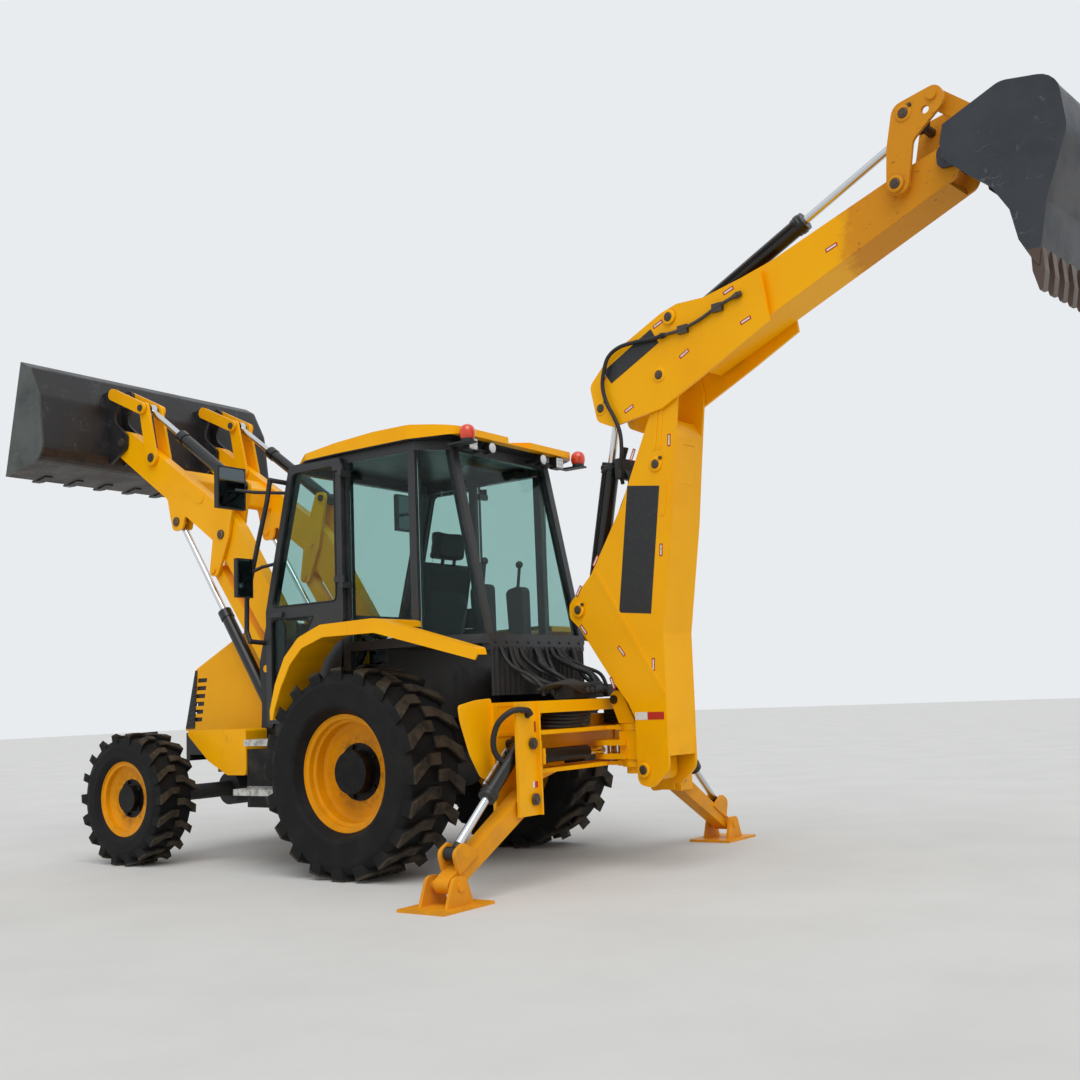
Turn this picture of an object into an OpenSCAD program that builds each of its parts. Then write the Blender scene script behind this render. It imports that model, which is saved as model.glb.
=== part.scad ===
// Backhoe loader: front loader raised, digging arm up and out, stabilisers down.
// +X is the front of the machine, +Y its left side, +Z up. Millimetres.
// Side-view points are [x, z] over the ground under the rear axle.
// Digging-arm points are [u, v]: u behind the slew axis, v above the ground.

/* [Wheels and axles] */
// Distance between the axles
wheelbase = 2175; // [2100:5:2250]
// Radius of the rear tyre over its lugs
rear_tyre_r = 655; // [620:5:680]
// Width of the rear tyre
rear_tyre_w = 480; // [440:10:500]
// Radius of the rear rim
rear_rim_r = 345; // [320:5:360]
// Half of the rear track
rear_track = 865; // [850:5:880]
// Radius of the front tyre over its lugs
front_tyre_r = 470; // [440:5:480]
// Width of the front tyre
front_tyre_w = 310; // [280:10:320]
// Radius of the front rim
front_rim_r = 245; // [225:5:260]
// Half of the front track
front_track = 950; // [940:5:960]
// Height of the lugs over the tyre's body
lug_h = 34; // [22:1:38]
// Lugs on one side of a rear tyre
rear_lugs = 20; // [16:1:22]
// Lugs on one side of a front tyre
front_lugs = 18; // [14:1:20]
// Steering kingpin from the centre line
kingpin_y = 700; // [690:5:710]

/* [Frame] */
// Height of the main rails' upper face
rail_top = 915; // [900:5:930]
// Depth of the main rails
rail_h = 170; // [150:5:172]
// Outer face of the main rails from the centre line
rail_y = 370; // [350:5:375]
// Thickness of the frame's plates
plate = 20; // [16:1:24]

/* [Bonnet] */
// Half width of the bonnet
bonnet_y = 360; // [340:5:365]
// Height of the bonnet's front edge
bonnet_front_z = 1400; // [1350:5:1430]
// Height of the bonnet's rear edge
bonnet_rear_z = 1690; // [1650:5:1720]
// Front end of the bonnet's top
bonnet_front_x = 2255; // [2230:5:2280]
// Rear end of the bonnet
bonnet_rear_x = 1085; // [1080:1:1095]
// Thickness of the bonnet's sheet
sheet = 8; // [5:1:12]

/* [Cab] */
// Half width of the cab's side wall
cab_y = 720; // [700:5:730]
// Height of the cab floor
cab_floor_z = 960; // [930:5:980]
// Height of the sill over the rear wheels
cab_sill_z = 1490; // [1450:5:1510]
// Height of the cab's posts
cab_top_z = 2760; // [2740:5:2780]
// Thickness of the cab's posts
post = 60; // [50:1:70]
// Thickness of the glass
glass_t = 6; // [5:1:8]

/* [Loader] */
// Centre plane of a loader arm from the centre line
arm_y = 465; // [455:5:475]
// Width of a loader arm
arm_w = 96; // [90:2:100]
// Side clearance of the loader's plates
side_gap = 6; // [5:1:8]
// Thickness of the loader's lever and crank plates
lever_t = 24; // [20:1:26]
// Radius of the loader's pins
pin_r = 26; // [22:1:30]
// Running clearance of a pin in its bore
pin_gap = 0.3; // [0.3:0.05:0.6]
// Outer radius of the ram barrels
barrel_r = 46; // [42:1:48]
// Radius of the ram rods
rod_r = 24; // [20:1:26]
// Half width of the loader bucket
bucket_y = 1170; // [1120:10:1200]
// Thickness of the loader bucket's sheet
bucket_t = 14; // [10:1:18]
// Spacing of the loader bucket's teeth
tooth_gap = 288; // [270:2:300]

/* [Digging arm] */
// Slew angle at rest, to the machine's left
slew_rest = 7; // [0:1:20]
// Half width of the boom
boom_w = 145; // [140:1:148]
// Thickness of the arm's side plates
arm_t = 18; // [14:1:20]
// Half width of the dipper's box
dipper_w = 125; // [115:1:130]
// Half width of the digging bucket
hoe_w = 290; // [250:5:300]
// Teeth of the digging bucket
hoe_teeth = 5; // [4:1:6]
// Radius of the arm's pins
hoe_pin_r = 27; // [24:1:32]

/* [Stabilisers] */
// Length of a stabiliser leg between its pins
leg_len = 800; // [760:5:820]
// Half width of a stabiliser leg
leg_w = 70; // [60:1:75]
// Half length of a stabiliser pad
pad_l = 210; // [180:5:220]

/* [Hidden] */
$fn = 48;

// Side-view pins of the loader
ARM_PIVOT = [1154, 1626];
CRANK_PIN = [1729, 2395];
CRANK_TOP = CRANK_PIN + [-120, 365];
CRANK_LOW = CRANK_PIN + [87, -264];
LINK_PIN = ARM_PIVOT + CRANK_LOW - CRANK_PIN;
LIFT_TOP = [2290, 2560];
LIFT_BASE = [1200, 960];
BUCKET_PIN = [2950, 3290];
LEVER_PIN = [2570, 3110];
LEVER_ARM = [100, 420];
LEVER_TOP = LEVER_PIN + LEVER_ARM;
BRACKET_PIN = BUCKET_PIN + LEVER_ARM;

// Pins of the digging arm in its own plane
SLEW_X = -1520;
BOOM_FOOT = [165, 617];
RAM_FOOT = [-100, 1045];
BOOM_BOSS = [367, 2460];
BOOM_TIP = [445, 3000];
DIP_RAM_FOOT = [-300, 1618];
DIP_TAIL = [-25, 2880];
BKT_RAM_FOOT = [546, 3339];
TIP_PIVOT = [2072, 3690];
TIP_RAM = [2142, 4061];
TIP_LINK = [2305, 4105];
HOE_LINK = [2602, 3842];
HOE_PIN = [2346, 3767];
FRAME_REAR_X = SLEW_X + 180;
SWING_X = SLEW_X + 200;
SWING_Z = 737;
SWING_EAR_Y = [60, -90];
SWING_BASE_Y = 780;
SWING_BARREL = 500;
// Plates of the rear frame between the stabilisers
LOW_PLATE_Z = 640;
HIGH_PLATE_Z = 860;
FRAME_TOP_Z = 1055;
// Half widths of the rims
REAR_FACE = 158;
FRONT_FACE = 124;
// Rear faces of the loader's towers
TOWER_X = 1056;

// Stabilisers, in the plane x = LEG_X, as [y, z]
LEG_X = -1255;
LEG_PIVOT = [860, 500];
LEG_RAM_TOP = [865, 815];
PAD_PIN_Z = 115;
LEG_ANGLE = asin((LEG_PIVOT[1] - PAD_PIN_Z) / leg_len);
PAD_PIN = LEG_PIVOT + leg_len * [cos(LEG_ANGLE), -sin(LEG_ANGLE)];
LEG_EYE = LEG_PIVOT + (leg_len - 130) * [cos(LEG_ANGLE), -sin(LEG_ANGLE)]
    + 105 * [sin(LEG_ANGLE), cos(LEG_ANGLE)];

// The origin lies under the middle of the whole machine
FRONT_REACH = 3669.73;
REAR_REACH = SLEW_X - 2992.34 * cos(slew_rest) - hoe_w * sin(slew_rest);
MID_X = (FRONT_REACH + REAR_REACH) / 2;

YELLOW = "#f0ab00";
BLACK = "#1c1d1f";
GREY = "#4a4d50";
CHROME = "#c8ccd0";
TYRE = "#202122";
GLASS = [0.45, 0.62, 0.62, 0.4];

// Outline with rounded corners: each corner is [x, y, radius]
function unit(v) = v / norm(v);
function arc_steps(r) = r < 1 ? 0 : 5;
function corner(a, b, c) =
    let (r = b[2], p = [b[0], b[1]],
         u = unit([a[0], a[1]] - p), w = unit([c[0], c[1]] - p),
         half = acos(max(-1, min(1, u * w))) / 2)
    r < 1 ? [p] :
    let (reach = r / tan(half), mid = p + unit(u + w) * r / sin(half),
         s = p + u * reach - mid, e = p + w * reach - mid,
         a0 = atan2(s[1], s[0]), turn = atan2(s[0] * e[1] - s[1] * e[0], s * e))
    [for (i = [0:arc_steps(r)]) let (t = a0 + turn * i / arc_steps(r)) mid + r * [cos(t), sin(t)]];
function rounded(pts) =
    let (n = len(pts))
    [for (i = [0:n - 1]) each corner(pts[(i + n - 1) % n], pts[i], pts[(i + 1) % n])];

// Bar between two pins with round ends of half widths a and b
function bar(p, q, a, b) =
    let (d = unit(q - p), s = [-d[1], d[0]], k = 0.98)
    [concat(p - d * a + s * a, a * k), concat(q + d * b + s * b, b * k),
     concat(q + d * b - s * b, b * k), concat(p - d * a - s * a, a * k)];

// Open path with rounded corners, and a strip of thickness t along its left side
function smooth(pts) =
    let (n = len(pts))
    concat([[pts[0][0], pts[0][1]]],
        [for (i = [1:n - 2]) each corner(pts[i - 1], pts[i], pts[i + 1])],
        [[pts[n - 1][0], pts[n - 1][1]]]);
function side_of(a, b) = let (d = unit(b - a)) [-d[1], d[0]];
function beside(path, t) =
    let (n = len(path))
    [for (i = [0:n - 1])
        let (u = side_of(path[max(i - 1, 0)], path[max(i, 1)]),
             w = side_of(path[min(i, n - 2)], path[min(i + 1, n - 1)]), m = unit(u + w))
        path[i] + m * t / (m * u)];
function reversed(v) = [for (i = [len(v) - 1:-1:0]) v[i]];
function strip(path, t) = concat(path, reversed(beside(path, t)));

// A side-view outline carried along Y from y0 over t
module slab(y0, t) {
    translate([0, y0 + t, 0]) rotate([90, 0, 0]) linear_extrude(t) children();
}
module rod_y(p, y0, t, r) {
    translate([p[0], y0 + t, p[1]]) rotate([90, 0, 0]) cylinder(r = r, h = t);
}
module shape(pts) {
    polygon(rounded(pts));
}
module both() {
    children();
    mirror([0, 1, 0]) children();
}
// Cylinder from p to q in the plane of the side view at height y
module ram_bar(p, q, y, r, from, to) {
    d = unit(q - p);
    a = atan2(d[0], d[1]);
    s = p + d * from;
    translate([s[0], y, s[1]]) rotate([0, a, 0]) cylinder(r = r, h = to - from);
}
// Places the machine's frame, whose origin is under the rear axle
module machine() {
    translate([-MID_X, 0, 0]) children();
}
// Places the digging arm: x = u, y = w, z = v become the slewed plane
module arm_plane() {
    machine() translate([SLEW_X, 0, 0]) rotate([0, 0, 180 - slew_rest]) children();
}
// Barrel and rod of a ram, with eyes at their ends
module barrel(p, q, y, r, length, eye_w, bore) {
    difference() {
        union() {
            ram_bar(p, q, y, r, r * 0.75, length);
            ram_bar(p, q, y, r + 6, length - 70, length);
            rod_y(p, y - eye_w / 2, eye_w, r);
        }
        rod_y(p, y - eye_w / 2 - 1, eye_w + 2, bore);
        ram_bar(p, q, y, rod_r + 1, r + 12, length + 1);
    }
}
module rod(p, q, y, from, eye_w, eye_r, bore) {
    full = norm(q - p);
    difference() {
        union() {
            ram_bar(p, q, y, rod_r, from, full - eye_r * 0.6);
            rod_y(q, y - eye_w / 2, eye_w, eye_r);
        }
        rod_y(q, y - eye_w / 2 - 1, eye_w + 2, bore);
    }
}

// Tyre of revolution about Y with two rows of bent lugs; face = half width of its rim
module tyre(r, w, rim, face, lugs) {
    body = r - lug_h;
    color(TYRE) rotate([-90, 0, 0]) {
        rotate_extrude($fn = 60) polygon(concat(
            [[rim, 22.8 - face], [rim + 20.3, 14.4 - face], [rim + 22.6, 1 - face]],
            smooth([[rim + 26, -face - 6], [rim + 60, -w * 0.49, 40], [body - 60, -w / 2, 40],
                [body - 6, -w * 0.44, 20], [body, 0]]),
            smooth([[body, 1], [body - 6, w * 0.44, 20], [body - 60, w / 2, 40],
                [rim + 60, w * 0.49, 40], [rim + 26, face + 6]]),
            [[rim + 22.6, face - 1], [rim + 20.3, face - 14.4], [rim, face - 22.8]]));
        for (side = [-1, 1], i = [0:lugs - 1])
            rotate([0, 0, (i + side / 4) * 360 / lugs])
                lug(r, w, side);
    }
}
// One lug: straight over the middle of the tread, then bent back to the shoulder
module lug(r, w, side) {
    a = w * 0.075;
    half = [[-a, -w * 0.02], [a, -w * 0.02], [a, w * 0.16], [a - w * 0.17, w * 0.485],
        [-a - w * 0.21, w * 0.485],
        [-a, w * 0.19]];
    translate([r - lug_h - 62, 0, 0]) rotate([90, 0, 90]) linear_extrude(lug_h + 60)
        polygon([for (p = half) [p[0] + w * 0.06, side * p[1]]]);
}
// Dished rim with a protruding hub and its wheel nuts; face = height of its outer plane
module rim(r, face, disc, hub_r, hub_face, studs) {
    rotate([-90, 0, 0]) difference() {
        union() {
            rotate_extrude($fn = 60) polygon([
                [r - 60, disc - 8], [r - 60, disc + 12], [r - 34, disc + 22], [r - 30, face - 60],
                [r - 12, face - 50], [r - 10, face - 16], [r + 14, face - 10], [r + 18, face],
                [r + 22, face], [r + 20, face - 14], [r, face - 22],
                [r, -face + 22], [r + 20, -face + 14], [r + 22, -face], [r + 18, -face],
                    [r - 12, -face + 12],
                [r - 12, -face + 40], [r - 34, disc - 60], [r - 44, disc - 8]]);
            translate([0, 0, disc - 8]) cylinder(r = r - 50, h = 20, $fn = 60);
            translate([0, 0, disc - 60]) cylinder(r = hub_r, h = hub_face - disc + 60);
            for (i = [0:studs - 1]) rotate([0, 0, i * 360 / studs])
                translate([hub_r + 28, 0, disc]) cylinder(r = 15, h = 30, $fn = 6);
        }
        translate([0, 0, disc - 61]) cylinder(r = 34.3, h = 70);
    }
}

module wheel_at(x, y, z, side) {
    machine() translate([x, side * y, z]) scale_side(side) children();
}
module scale_side(side) {
    if (side > 0) children();
    else mirror([0, 1, 0]) children();
}
module rear_rim_left() {
    color(YELLOW) wheel_at(0, rear_track, rear_tyre_r, 1)
        rim(rear_rim_r, REAR_FACE, 16, 135, 113, 5);
}
module rear_rim_right() {
    color(YELLOW) wheel_at(0, rear_track, rear_tyre_r, -1)
        rim(rear_rim_r, REAR_FACE, 16, 135, 113, 5);
}
module front_rim_left() {
    color(YELLOW) wheel_at(wheelbase, front_track, front_tyre_r, 1)
        rim(front_rim_r, FRONT_FACE, 40, 92, 100, 5);
}
module front_rim_right() {
    color(YELLOW) wheel_at(wheelbase, front_track, front_tyre_r, -1)
        rim(front_rim_r, FRONT_FACE, 40, 92, 100, 5);
}
module rear_tyre_left() {
    wheel_at(0, rear_track, rear_tyre_r, 1)
        tyre(rear_tyre_r, rear_tyre_w, rear_rim_r + 0.3, REAR_FACE, rear_lugs);
}
module rear_tyre_right() {
    wheel_at(0, rear_track, rear_tyre_r, -1)
        tyre(rear_tyre_r, rear_tyre_w, rear_rim_r + 0.3, REAR_FACE, rear_lugs);
}
module front_tyre_left() {
    wheel_at(wheelbase, front_track, front_tyre_r, 1)
        tyre(front_tyre_r, front_tyre_w, front_rim_r + 0.3, FRONT_FACE, front_lugs);
}
module front_tyre_right() {
    wheel_at(wheelbase, front_track, front_tyre_r, -1)
        tyre(front_tyre_r, front_tyre_w, front_rim_r + 0.3, FRONT_FACE, front_lugs);
}

// Two rails with cross members, loader towers and the lift rams' lugs
TOWER_IN = arm_w / 2 + side_gap;
module tower_plate(y0) {
    difference() {
        slab(y0, plate) shape([[ARM_PIVOT[0] - 98, ARM_PIVOT[1] + 92, 70],
            [ARM_PIVOT[0] + 80, ARM_PIVOT[1] + 92, 70], [LINK_PIN[0] + 80, LINK_PIN[1] + 40, 60],
            [LIFT_BASE[0] + 100, LIFT_BASE[1] + 140, 60], [LIFT_BASE[0] + 110, rail_top - 60, 10],
            [TOWER_X, rail_top - 60, 10]]);
        for (p = [ARM_PIVOT, LINK_PIN, LIFT_BASE])
            rod_y(p, y0 - 1, plate + 2, pin_r + pin_gap);
    }
}
module chassis() {
    color(BLACK) machine() {
        both() {
            translate([-1100, rail_y - 70, rail_top - rail_h]) cube([3420, 70, rail_h]);
            translate([TOWER_X, rail_y - 1, rail_top - 100])
                cube([250, arm_y + TOWER_IN + plate - rail_y + 1, 45]);
            for (y0 = [arm_y - TOWER_IN - plate, arm_y + TOWER_IN]) tower_plate(y0);
        }
        for (x = [-900, 420, wheelbase - 40, 2240])
            translate([x, -rail_y + 35, rail_top - rail_h + 20]) cube([80, 2 * rail_y - 70, rail_h - 60]);
        translate([wheelbase - 90, -140, front_tyre_r + 128.3]) cube([180, 280, 185]);
        translate([2319, -rail_y, rail_top - 215]) cube([41, 2 * rail_y, 215]);
    }
}
module engine_block() {
    color(GREY) machine() {
        translate([1250, -260, 690]) cube([800, 520, 550]);
        translate([600, -200, 560]) cube([651, 400, 340]);
        for (x = [1320, 1900])
            translate([x, -rail_y + 70.3, 800]) cube([80, 2 * rail_y - 140.6, 60]);
    }
}
module rear_axle_parts() {
    color(BLACK) machine() translate([0, 0, rear_tyre_r]) {
        rotate([-90, 0, 0]) translate([0, 0, -560]) cylinder(r = 85, h = 1120);
        rotate([-90, 0, 0]) translate([0, 0, -180]) cylinder(r = 170, h = 360);
        both() {
            translate([-70, rail_y - 70, 0]) cube([140, 70, rail_top - rail_h - rear_tyre_r - 0.3]);
            rotate([-90, 0, 0]) {
                translate([0, 0, 540]) cylinder(r = 150, h = 60);
                translate([0, 0, 600]) cylinder(r = 34, h = rear_track - 585);
            }
        }
        translate([140, -70, -90]) cube([461, 140, 140]);
    }
}
module front_axle_parts() {
    color(BLACK) machine() translate([wheelbase, 0, front_tyre_r]) {
        rotate([-90, 0, 0]) translate([0, 0, -600]) cylinder(r = 58, h = 1200);
        rotate([-90, 0, 0]) translate([0, 0, -110]) cylinder(r = 125, h = 220);
        both() for (z = [-95, 55]) {
            translate([-45, 590, z]) cube([90, 75, 40]);
            difference() {
                translate([0, kingpin_y, z]) cylinder(r = 52, h = 40);
                translate([0, kingpin_y, z - 1]) cylinder(r = 20.3, h = 42);
            }
        }
        both() translate([-40, 560, -95]) cube([80, 40, 190]);
        translate([-60, -60, 40]) cube([120, 120, 88]);
        translate([-930, 0, 45]) rotate([0, 90, 0]) cylinder(r = 34, h = 835);
        translate([-960, -60, 10]) cube([60, 120, 120]);
    }
}
module driveline() {
    engine_block();
    rear_axle_parts();
    front_axle_parts();
}
module knuckle(side) {
    color(BLACK) wheel_at(wheelbase, 0, front_tyre_r, side) {
        translate([0, kingpin_y, -110]) cylinder(r = 20, h = 220);
        translate([0, kingpin_y, -50]) cylinder(r = 50, h = 100);
        rotate([-90, 0, 0]) translate([0, 0, kingpin_y]) cylinder(r = 34, h = front_track - kingpin_y + 35);
        rotate([-90, 0, 0]) translate([0, 0, kingpin_y + 56]) cylinder(r = 75, h = 40);
    }
}
module knuckle_left() { knuckle(1); }
module knuckle_right() { knuckle(-1); }

// Tank and battery boxes with the two entry steps each side
module side_boxes() {
    color(BLACK) machine() both() {
        translate([680, rail_y + 0.3, 400]) cube([540, 380, 290]);
        translate([680, rail_y + 0.3, 689]) cube([300, 60, 110]);
        translate([680, 565, 689]) cube([540, 185, 110]);
        slab(565, 195) shape([[1221, 620, 30], [1420, 620, 60], [1625, 720, 80], [1850, 905, 20],
            [1850, 940, 20],
            [1221, 940, 20]]);
        slab(420, 150) polygon([[1219, 625], [1400, 625], [1400, 680], [1219, 680]]);
        for (x = [690, 950])
            translate([x, 700, 790]) cube([30, 50, 50]);
        step(650, 350, 830);
        step(662, 450, 500);
    }
}

// Perforated tread from x0 over w
module step(x0, w, z) {
    n = floor((w - 60) / 85);
    difference() {
        translate([x0, 700, z]) cube([w, 270, 42]);
        translate([x0 + 12, 752, z - 1]) cube([w - 24, 206, 31]);
        for (i = [0:n - 1], j = [0:1])
            translate([x0 + (w - (n - 1) * 85) / 2 + i * 85, 805 + j * 95, z - 2])
                cylinder(r = 26, h = 46, $fn = 16);
    }
}
// Open transverse channel with flanges, the slew pivots and stabiliser housings
module rear_frame() {
    swing_barrel_parts();
    color(YELLOW) machine() difference() {
        union() {
            for (z = [LOW_PLATE_Z, HIGH_PLATE_Z])
                translate([0, 0, z]) linear_extrude(24) shape([[FRAME_REAR_X + 200, -960, 0],
                    [FRAME_REAR_X + 200, 960, 0], [FRAME_REAR_X + 18, 960, 0], [FRAME_REAR_X - 8, 400, 0],
                    [FRAME_REAR_X - 8, 70, 0], [FRAME_REAR_X - 90, 58, 0], [FRAME_REAR_X - 90, -58, 0],
                    [FRAME_REAR_X - 8, -70, 0], [FRAME_REAR_X - 8, -400, 0], [FRAME_REAR_X + 18, -960, 0]]);
            translate([FRAME_REAR_X, -960, FRAME_TOP_Z - 24]) cube([200, 1920, 24]);
            translate([FRAME_REAR_X, -960, FRAME_TOP_Z - 70]) cube([18, 1920, 70]);
            both() {
                // cheeks of the stabiliser's housing, its inner wall and the front plate
                translate([FRAME_REAR_X, 800, 410]) cube([18, 200, FRAME_TOP_Z - 410]);
                translate([FRAME_REAR_X - 22, 800, 410]) cube([23, 14, FRAME_TOP_Z - 410]);
                translate([FRAME_REAR_X + 10, 760, 420]) cube([180, 16, FRAME_TOP_Z - 430]);
                across(LEG_X + 85, 18) shape([[300, 640, 0], [680, 560, 60], [780, 410, 20], [1000, 410, 0],
                    [1000, FRAME_TOP_Z, 0], [300, FRAME_TOP_Z, 0]]);
                translate([LEG_X + 60, 984, 410]) cube([40, 16, FRAME_TOP_Z - 410]);
            }
            for (z = [LOW_PLATE_Z - 10, HIGH_PLATE_Z - 10])
                translate([SLEW_X, 0, z]) {
                    cylinder(r = 95, h = 44);
                    translate([0, -60, 5]) cube([110, 120, 34]);
                }
            translate([FRAME_REAR_X + 182, -rail_y, 700])
                cube([-1100.3 - FRAME_REAR_X - 182, 2 * rail_y, 260]);
        }
        for (z = [LOW_PLATE_Z, HIGH_PLATE_Z])
            translate([SLEW_X, 0, z - 20]) cylinder(r = 45.3, h = 80);
        both() {
            translate([LEG_X - leg_w + 3, LEG_PIVOT[0] - 84, 400]) cube([2 * leg_w + 8, 300, FRAME_TOP_Z]);
            for (p = [LEG_PIVOT, LEG_RAM_TOP]) rod_x(p, FRAME_REAR_X - 50, 250, pin_r + pin_gap);
        }
    }
}
module swing_barrel_parts() {
    color(BLACK) machine() both()
        translate([SWING_X, SWING_BASE_Y, SWING_Z]) rotate([90, 0, 0]) difference() {
            union() {
                cylinder(r = 42, h = SWING_BARREL);
                translate([-40, -45, 0]) cube([80, 90, 40]);
                translate([0, -82, 10]) rotate([-90, 0, 0]) cylinder(r = 20, h = 170);
            }
            translate([0, 0, 44]) cylinder(r = 23, h = SWING_BARREL);
        }
}

// Cab: floor, deck, posts and rails, open at every window
CAB_FRONT = 1045;
A_TOP = [735, cab_top_z];
B_X = 270;
C_X = -380;
HINGE = [225, cab_y + 62];
HINGE_Z = [1891, 2646];
BONNET_HINGE = [bonnet_rear_x + 15, bonnet_rear_z + 12];
D_LOW = [-800, 510, cab_sill_z];
D_TOP = [-545, 540, cab_top_z];
module post_to(p, q, w) {
    hull() {
        translate(p - [w / 2, w / 2, 0]) cube([w, w, 1]);
        translate(q - [w / 2, w / 2, 0]) cube([w, w, 1]);
    }
}
// Ring of sheet between two plan outlines
module ring(outer, inner, h) {
    linear_extrude(h) difference() {
        polygon(outer);
        polygon(inner);
    }
}
// Rear wheel's arch: points on a circle about the rear axle
function arch(r, a0, a1, n) =
    [for (i = [0:n]) let (a = a0 + (a1 - a0) * i / n) [r * cos(a), rear_tyre_r + r * sin(a)]];
module cab_shell() {
    in = cab_y - post;
    color(BLACK) machine() {
        // front floor, bulkhead and scuttle
        translate([0, -600, cab_floor_z]) cube([1040, 1200, 30]);
        translate([640, -cab_y + 20, cab_floor_z]) cube([400, 2 * cab_y - 40, 30]);
        translate([1020, -cab_y + 20, cab_floor_z]) cube([CAB_FRONT - 1020, 2 * cab_y - 40, 340]);
        translate([990, -in - 1, 1698]) cube([CAB_FRONT - 990, 2 * in + 2, 52]);
        // rear deck and its sill
        translate([0, 0, cab_sill_z - 60]) linear_extrude(30) polygon([[0, -601], [0, 601], [290, 601],
            [290, cab_y], [C_X, cab_y], [D_LOW[0], D_LOW[1] + 30], [D_LOW[0], -D_LOW[1] - 30],
                [C_X, -cab_y], [290, -cab_y],
            [290, -601]]);
        translate([0, -601, cab_floor_z]) cube([20, 1202, cab_sill_z - cab_floor_z - 40]);
        translate([D_LOW[0], -D_LOW[1] - 20, cab_sill_z - 105]) cube([60, 2 * D_LOW[1] + 40, 105]);
        translate([0, 0, cab_sill_z - 31]) ring([[290, cab_y], [C_X, cab_y], [D_LOW[0], D_LOW[1] + 30],
            [D_LOW[0], -D_LOW[1] - 30], [C_X, -cab_y], [290, -cab_y]], [[291, in], [C_X + 10, in],
            [D_LOW[0] + 60, D_LOW[1] - 10], [D_LOW[0] + 60, -D_LOW[1] + 10], [C_X + 10, -in],
                [291, -in]], 31);
        both() {
            // wheel arch: inner wall, tunnel and outer panel
            slab(590, 11) polygon(concat(arch(690, 28, 88, 6), [[10, cab_floor_z + 20],
                [600, cab_floor_z + 20]]));
            slab(600, 101) polygon(concat(arch(684, 27, 80, 6), reversed(arch(698, 27, 80, 6))));
            slab(cab_y - 20, 20) polygon(concat(arch(684, 27, 62, 6), [[285, 1620], [495, 1620],
                [592, 1488],
                [646, 1398], [695, 1258], [710, cab_floor_z]]));
            // posts
            translate([B_X - 45, in, 1300]) cube([65, post, cab_top_z - 1300]);
            translate([C_X, in, cab_sill_z - 20]) cube([post, post, cab_top_z - cab_sill_z + 20]);
            slab(in, post) polygon([[CAB_FRONT - 60, cab_floor_z], [CAB_FRONT, cab_floor_z],
                [CAB_FRONT, 1750],
                [A_TOP[0] + 30, cab_top_z], [A_TOP[0] - 30, cab_top_z], [CAB_FRONT - 60, 1750]]);
            post_to([D_LOW[0] + 30, D_LOW[1], D_LOW[2] - 10],
                [D_TOP[0] + 30, D_TOP[1] - 30, D_TOP[2] - 20], 60);
            translate([930, 560, 850]) cube([80, 110, 111]);
            translate([100, rail_y - 70, rail_top + 0.3]) cube([80, 70, cab_floor_z - rail_top]);
            translate([900, rail_y - 70, rail_top + 0.3]) cube([80, 70, cab_floor_z - rail_top]);
            // fixed halves of the door's hinges
            for (z = HINGE_Z)
                difference() {
                    translate([HINGE[0] - 16, cab_y - 20, z - 42]) cube([32, HINGE[1] - cab_y + 36, 41.7]);
                    translate([HINGE[0], HINGE[1], z - 50]) cylinder(r = 9.3, h = 60);
                }
            // seats of the bonnet's hinge
            difference() {
                union() {
                    translate([CAB_FRONT - 5, 206, BONNET_HINGE[1] - 11])
                        cube([BONNET_HINGE[0] - CAB_FRONT + 5, 20, 22]);
                    rod_y(BONNET_HINGE, 206, 20, 11.2);
                }
                rod_y(BONNET_HINGE, 200, 40, 8.3);
            }
        }
        // ring under the roof
        translate([0, 0, cab_top_z - 60]) ring([[A_TOP[0] + 30, cab_y], [C_X, cab_y], [D_TOP[0], D_TOP[1]],
            [D_TOP[0], -D_TOP[1]], [C_X, -cab_y], [A_TOP[0] + 30, -cab_y]], [[A_TOP[0] - 30, in],
                [C_X + 20, in],
            [D_TOP[0] + 60, D_TOP[1] - 20], [D_TOP[0] + 60, -D_TOP[1] + 20], [C_X + 20, -in],
            [A_TOP[0] - 30, -in]], 60);
    }
}
ROOF_Z = cab_top_z + 0.3;
module cab_roof() {
    color(YELLOW) machine() difference() {
        intersection() {
            slab(-800, 1600) polygon([[772, ROOF_Z], [776, ROOF_Z - 20], [850, ROOF_Z - 20], [846, 2750],
                [605, 2816], [289, 2844], [-54, 2864], [-380, 2862], [-546, 2845], [-700, 2822],
                    [-704, 2775], [-546, ROOF_Z]]);
            translate([0, 0, 2700]) linear_extrude(200) polygon(rounded([[850, -600, 90], [850, 600, 90],
                [600, 745, 120], [300, 762, 60], [-350, 762, 80], [-704, 660, 120], [-704, -660, 120],
                [-350, -762, 80], [300, -762, 60], [600, -745, 120]]));
        }
        // channel between the lobes at the rear
        translate([-720, -125, 2781]) cube([200, 250, 100]);
    }
}
module pane(q, o) {
    polyhedron(points = concat(q, [for (p = q) p + o]), faces = [[0, 1, 2], [0, 2, 3], [6, 5, 4], [7, 6, 4],
        [0, 4, 5], [0, 5, 1], [1, 5, 6], [1, 6, 2], [2, 6, 7], [2, 7, 3], [3, 7, 4], [3, 4, 0]]);
}
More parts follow.
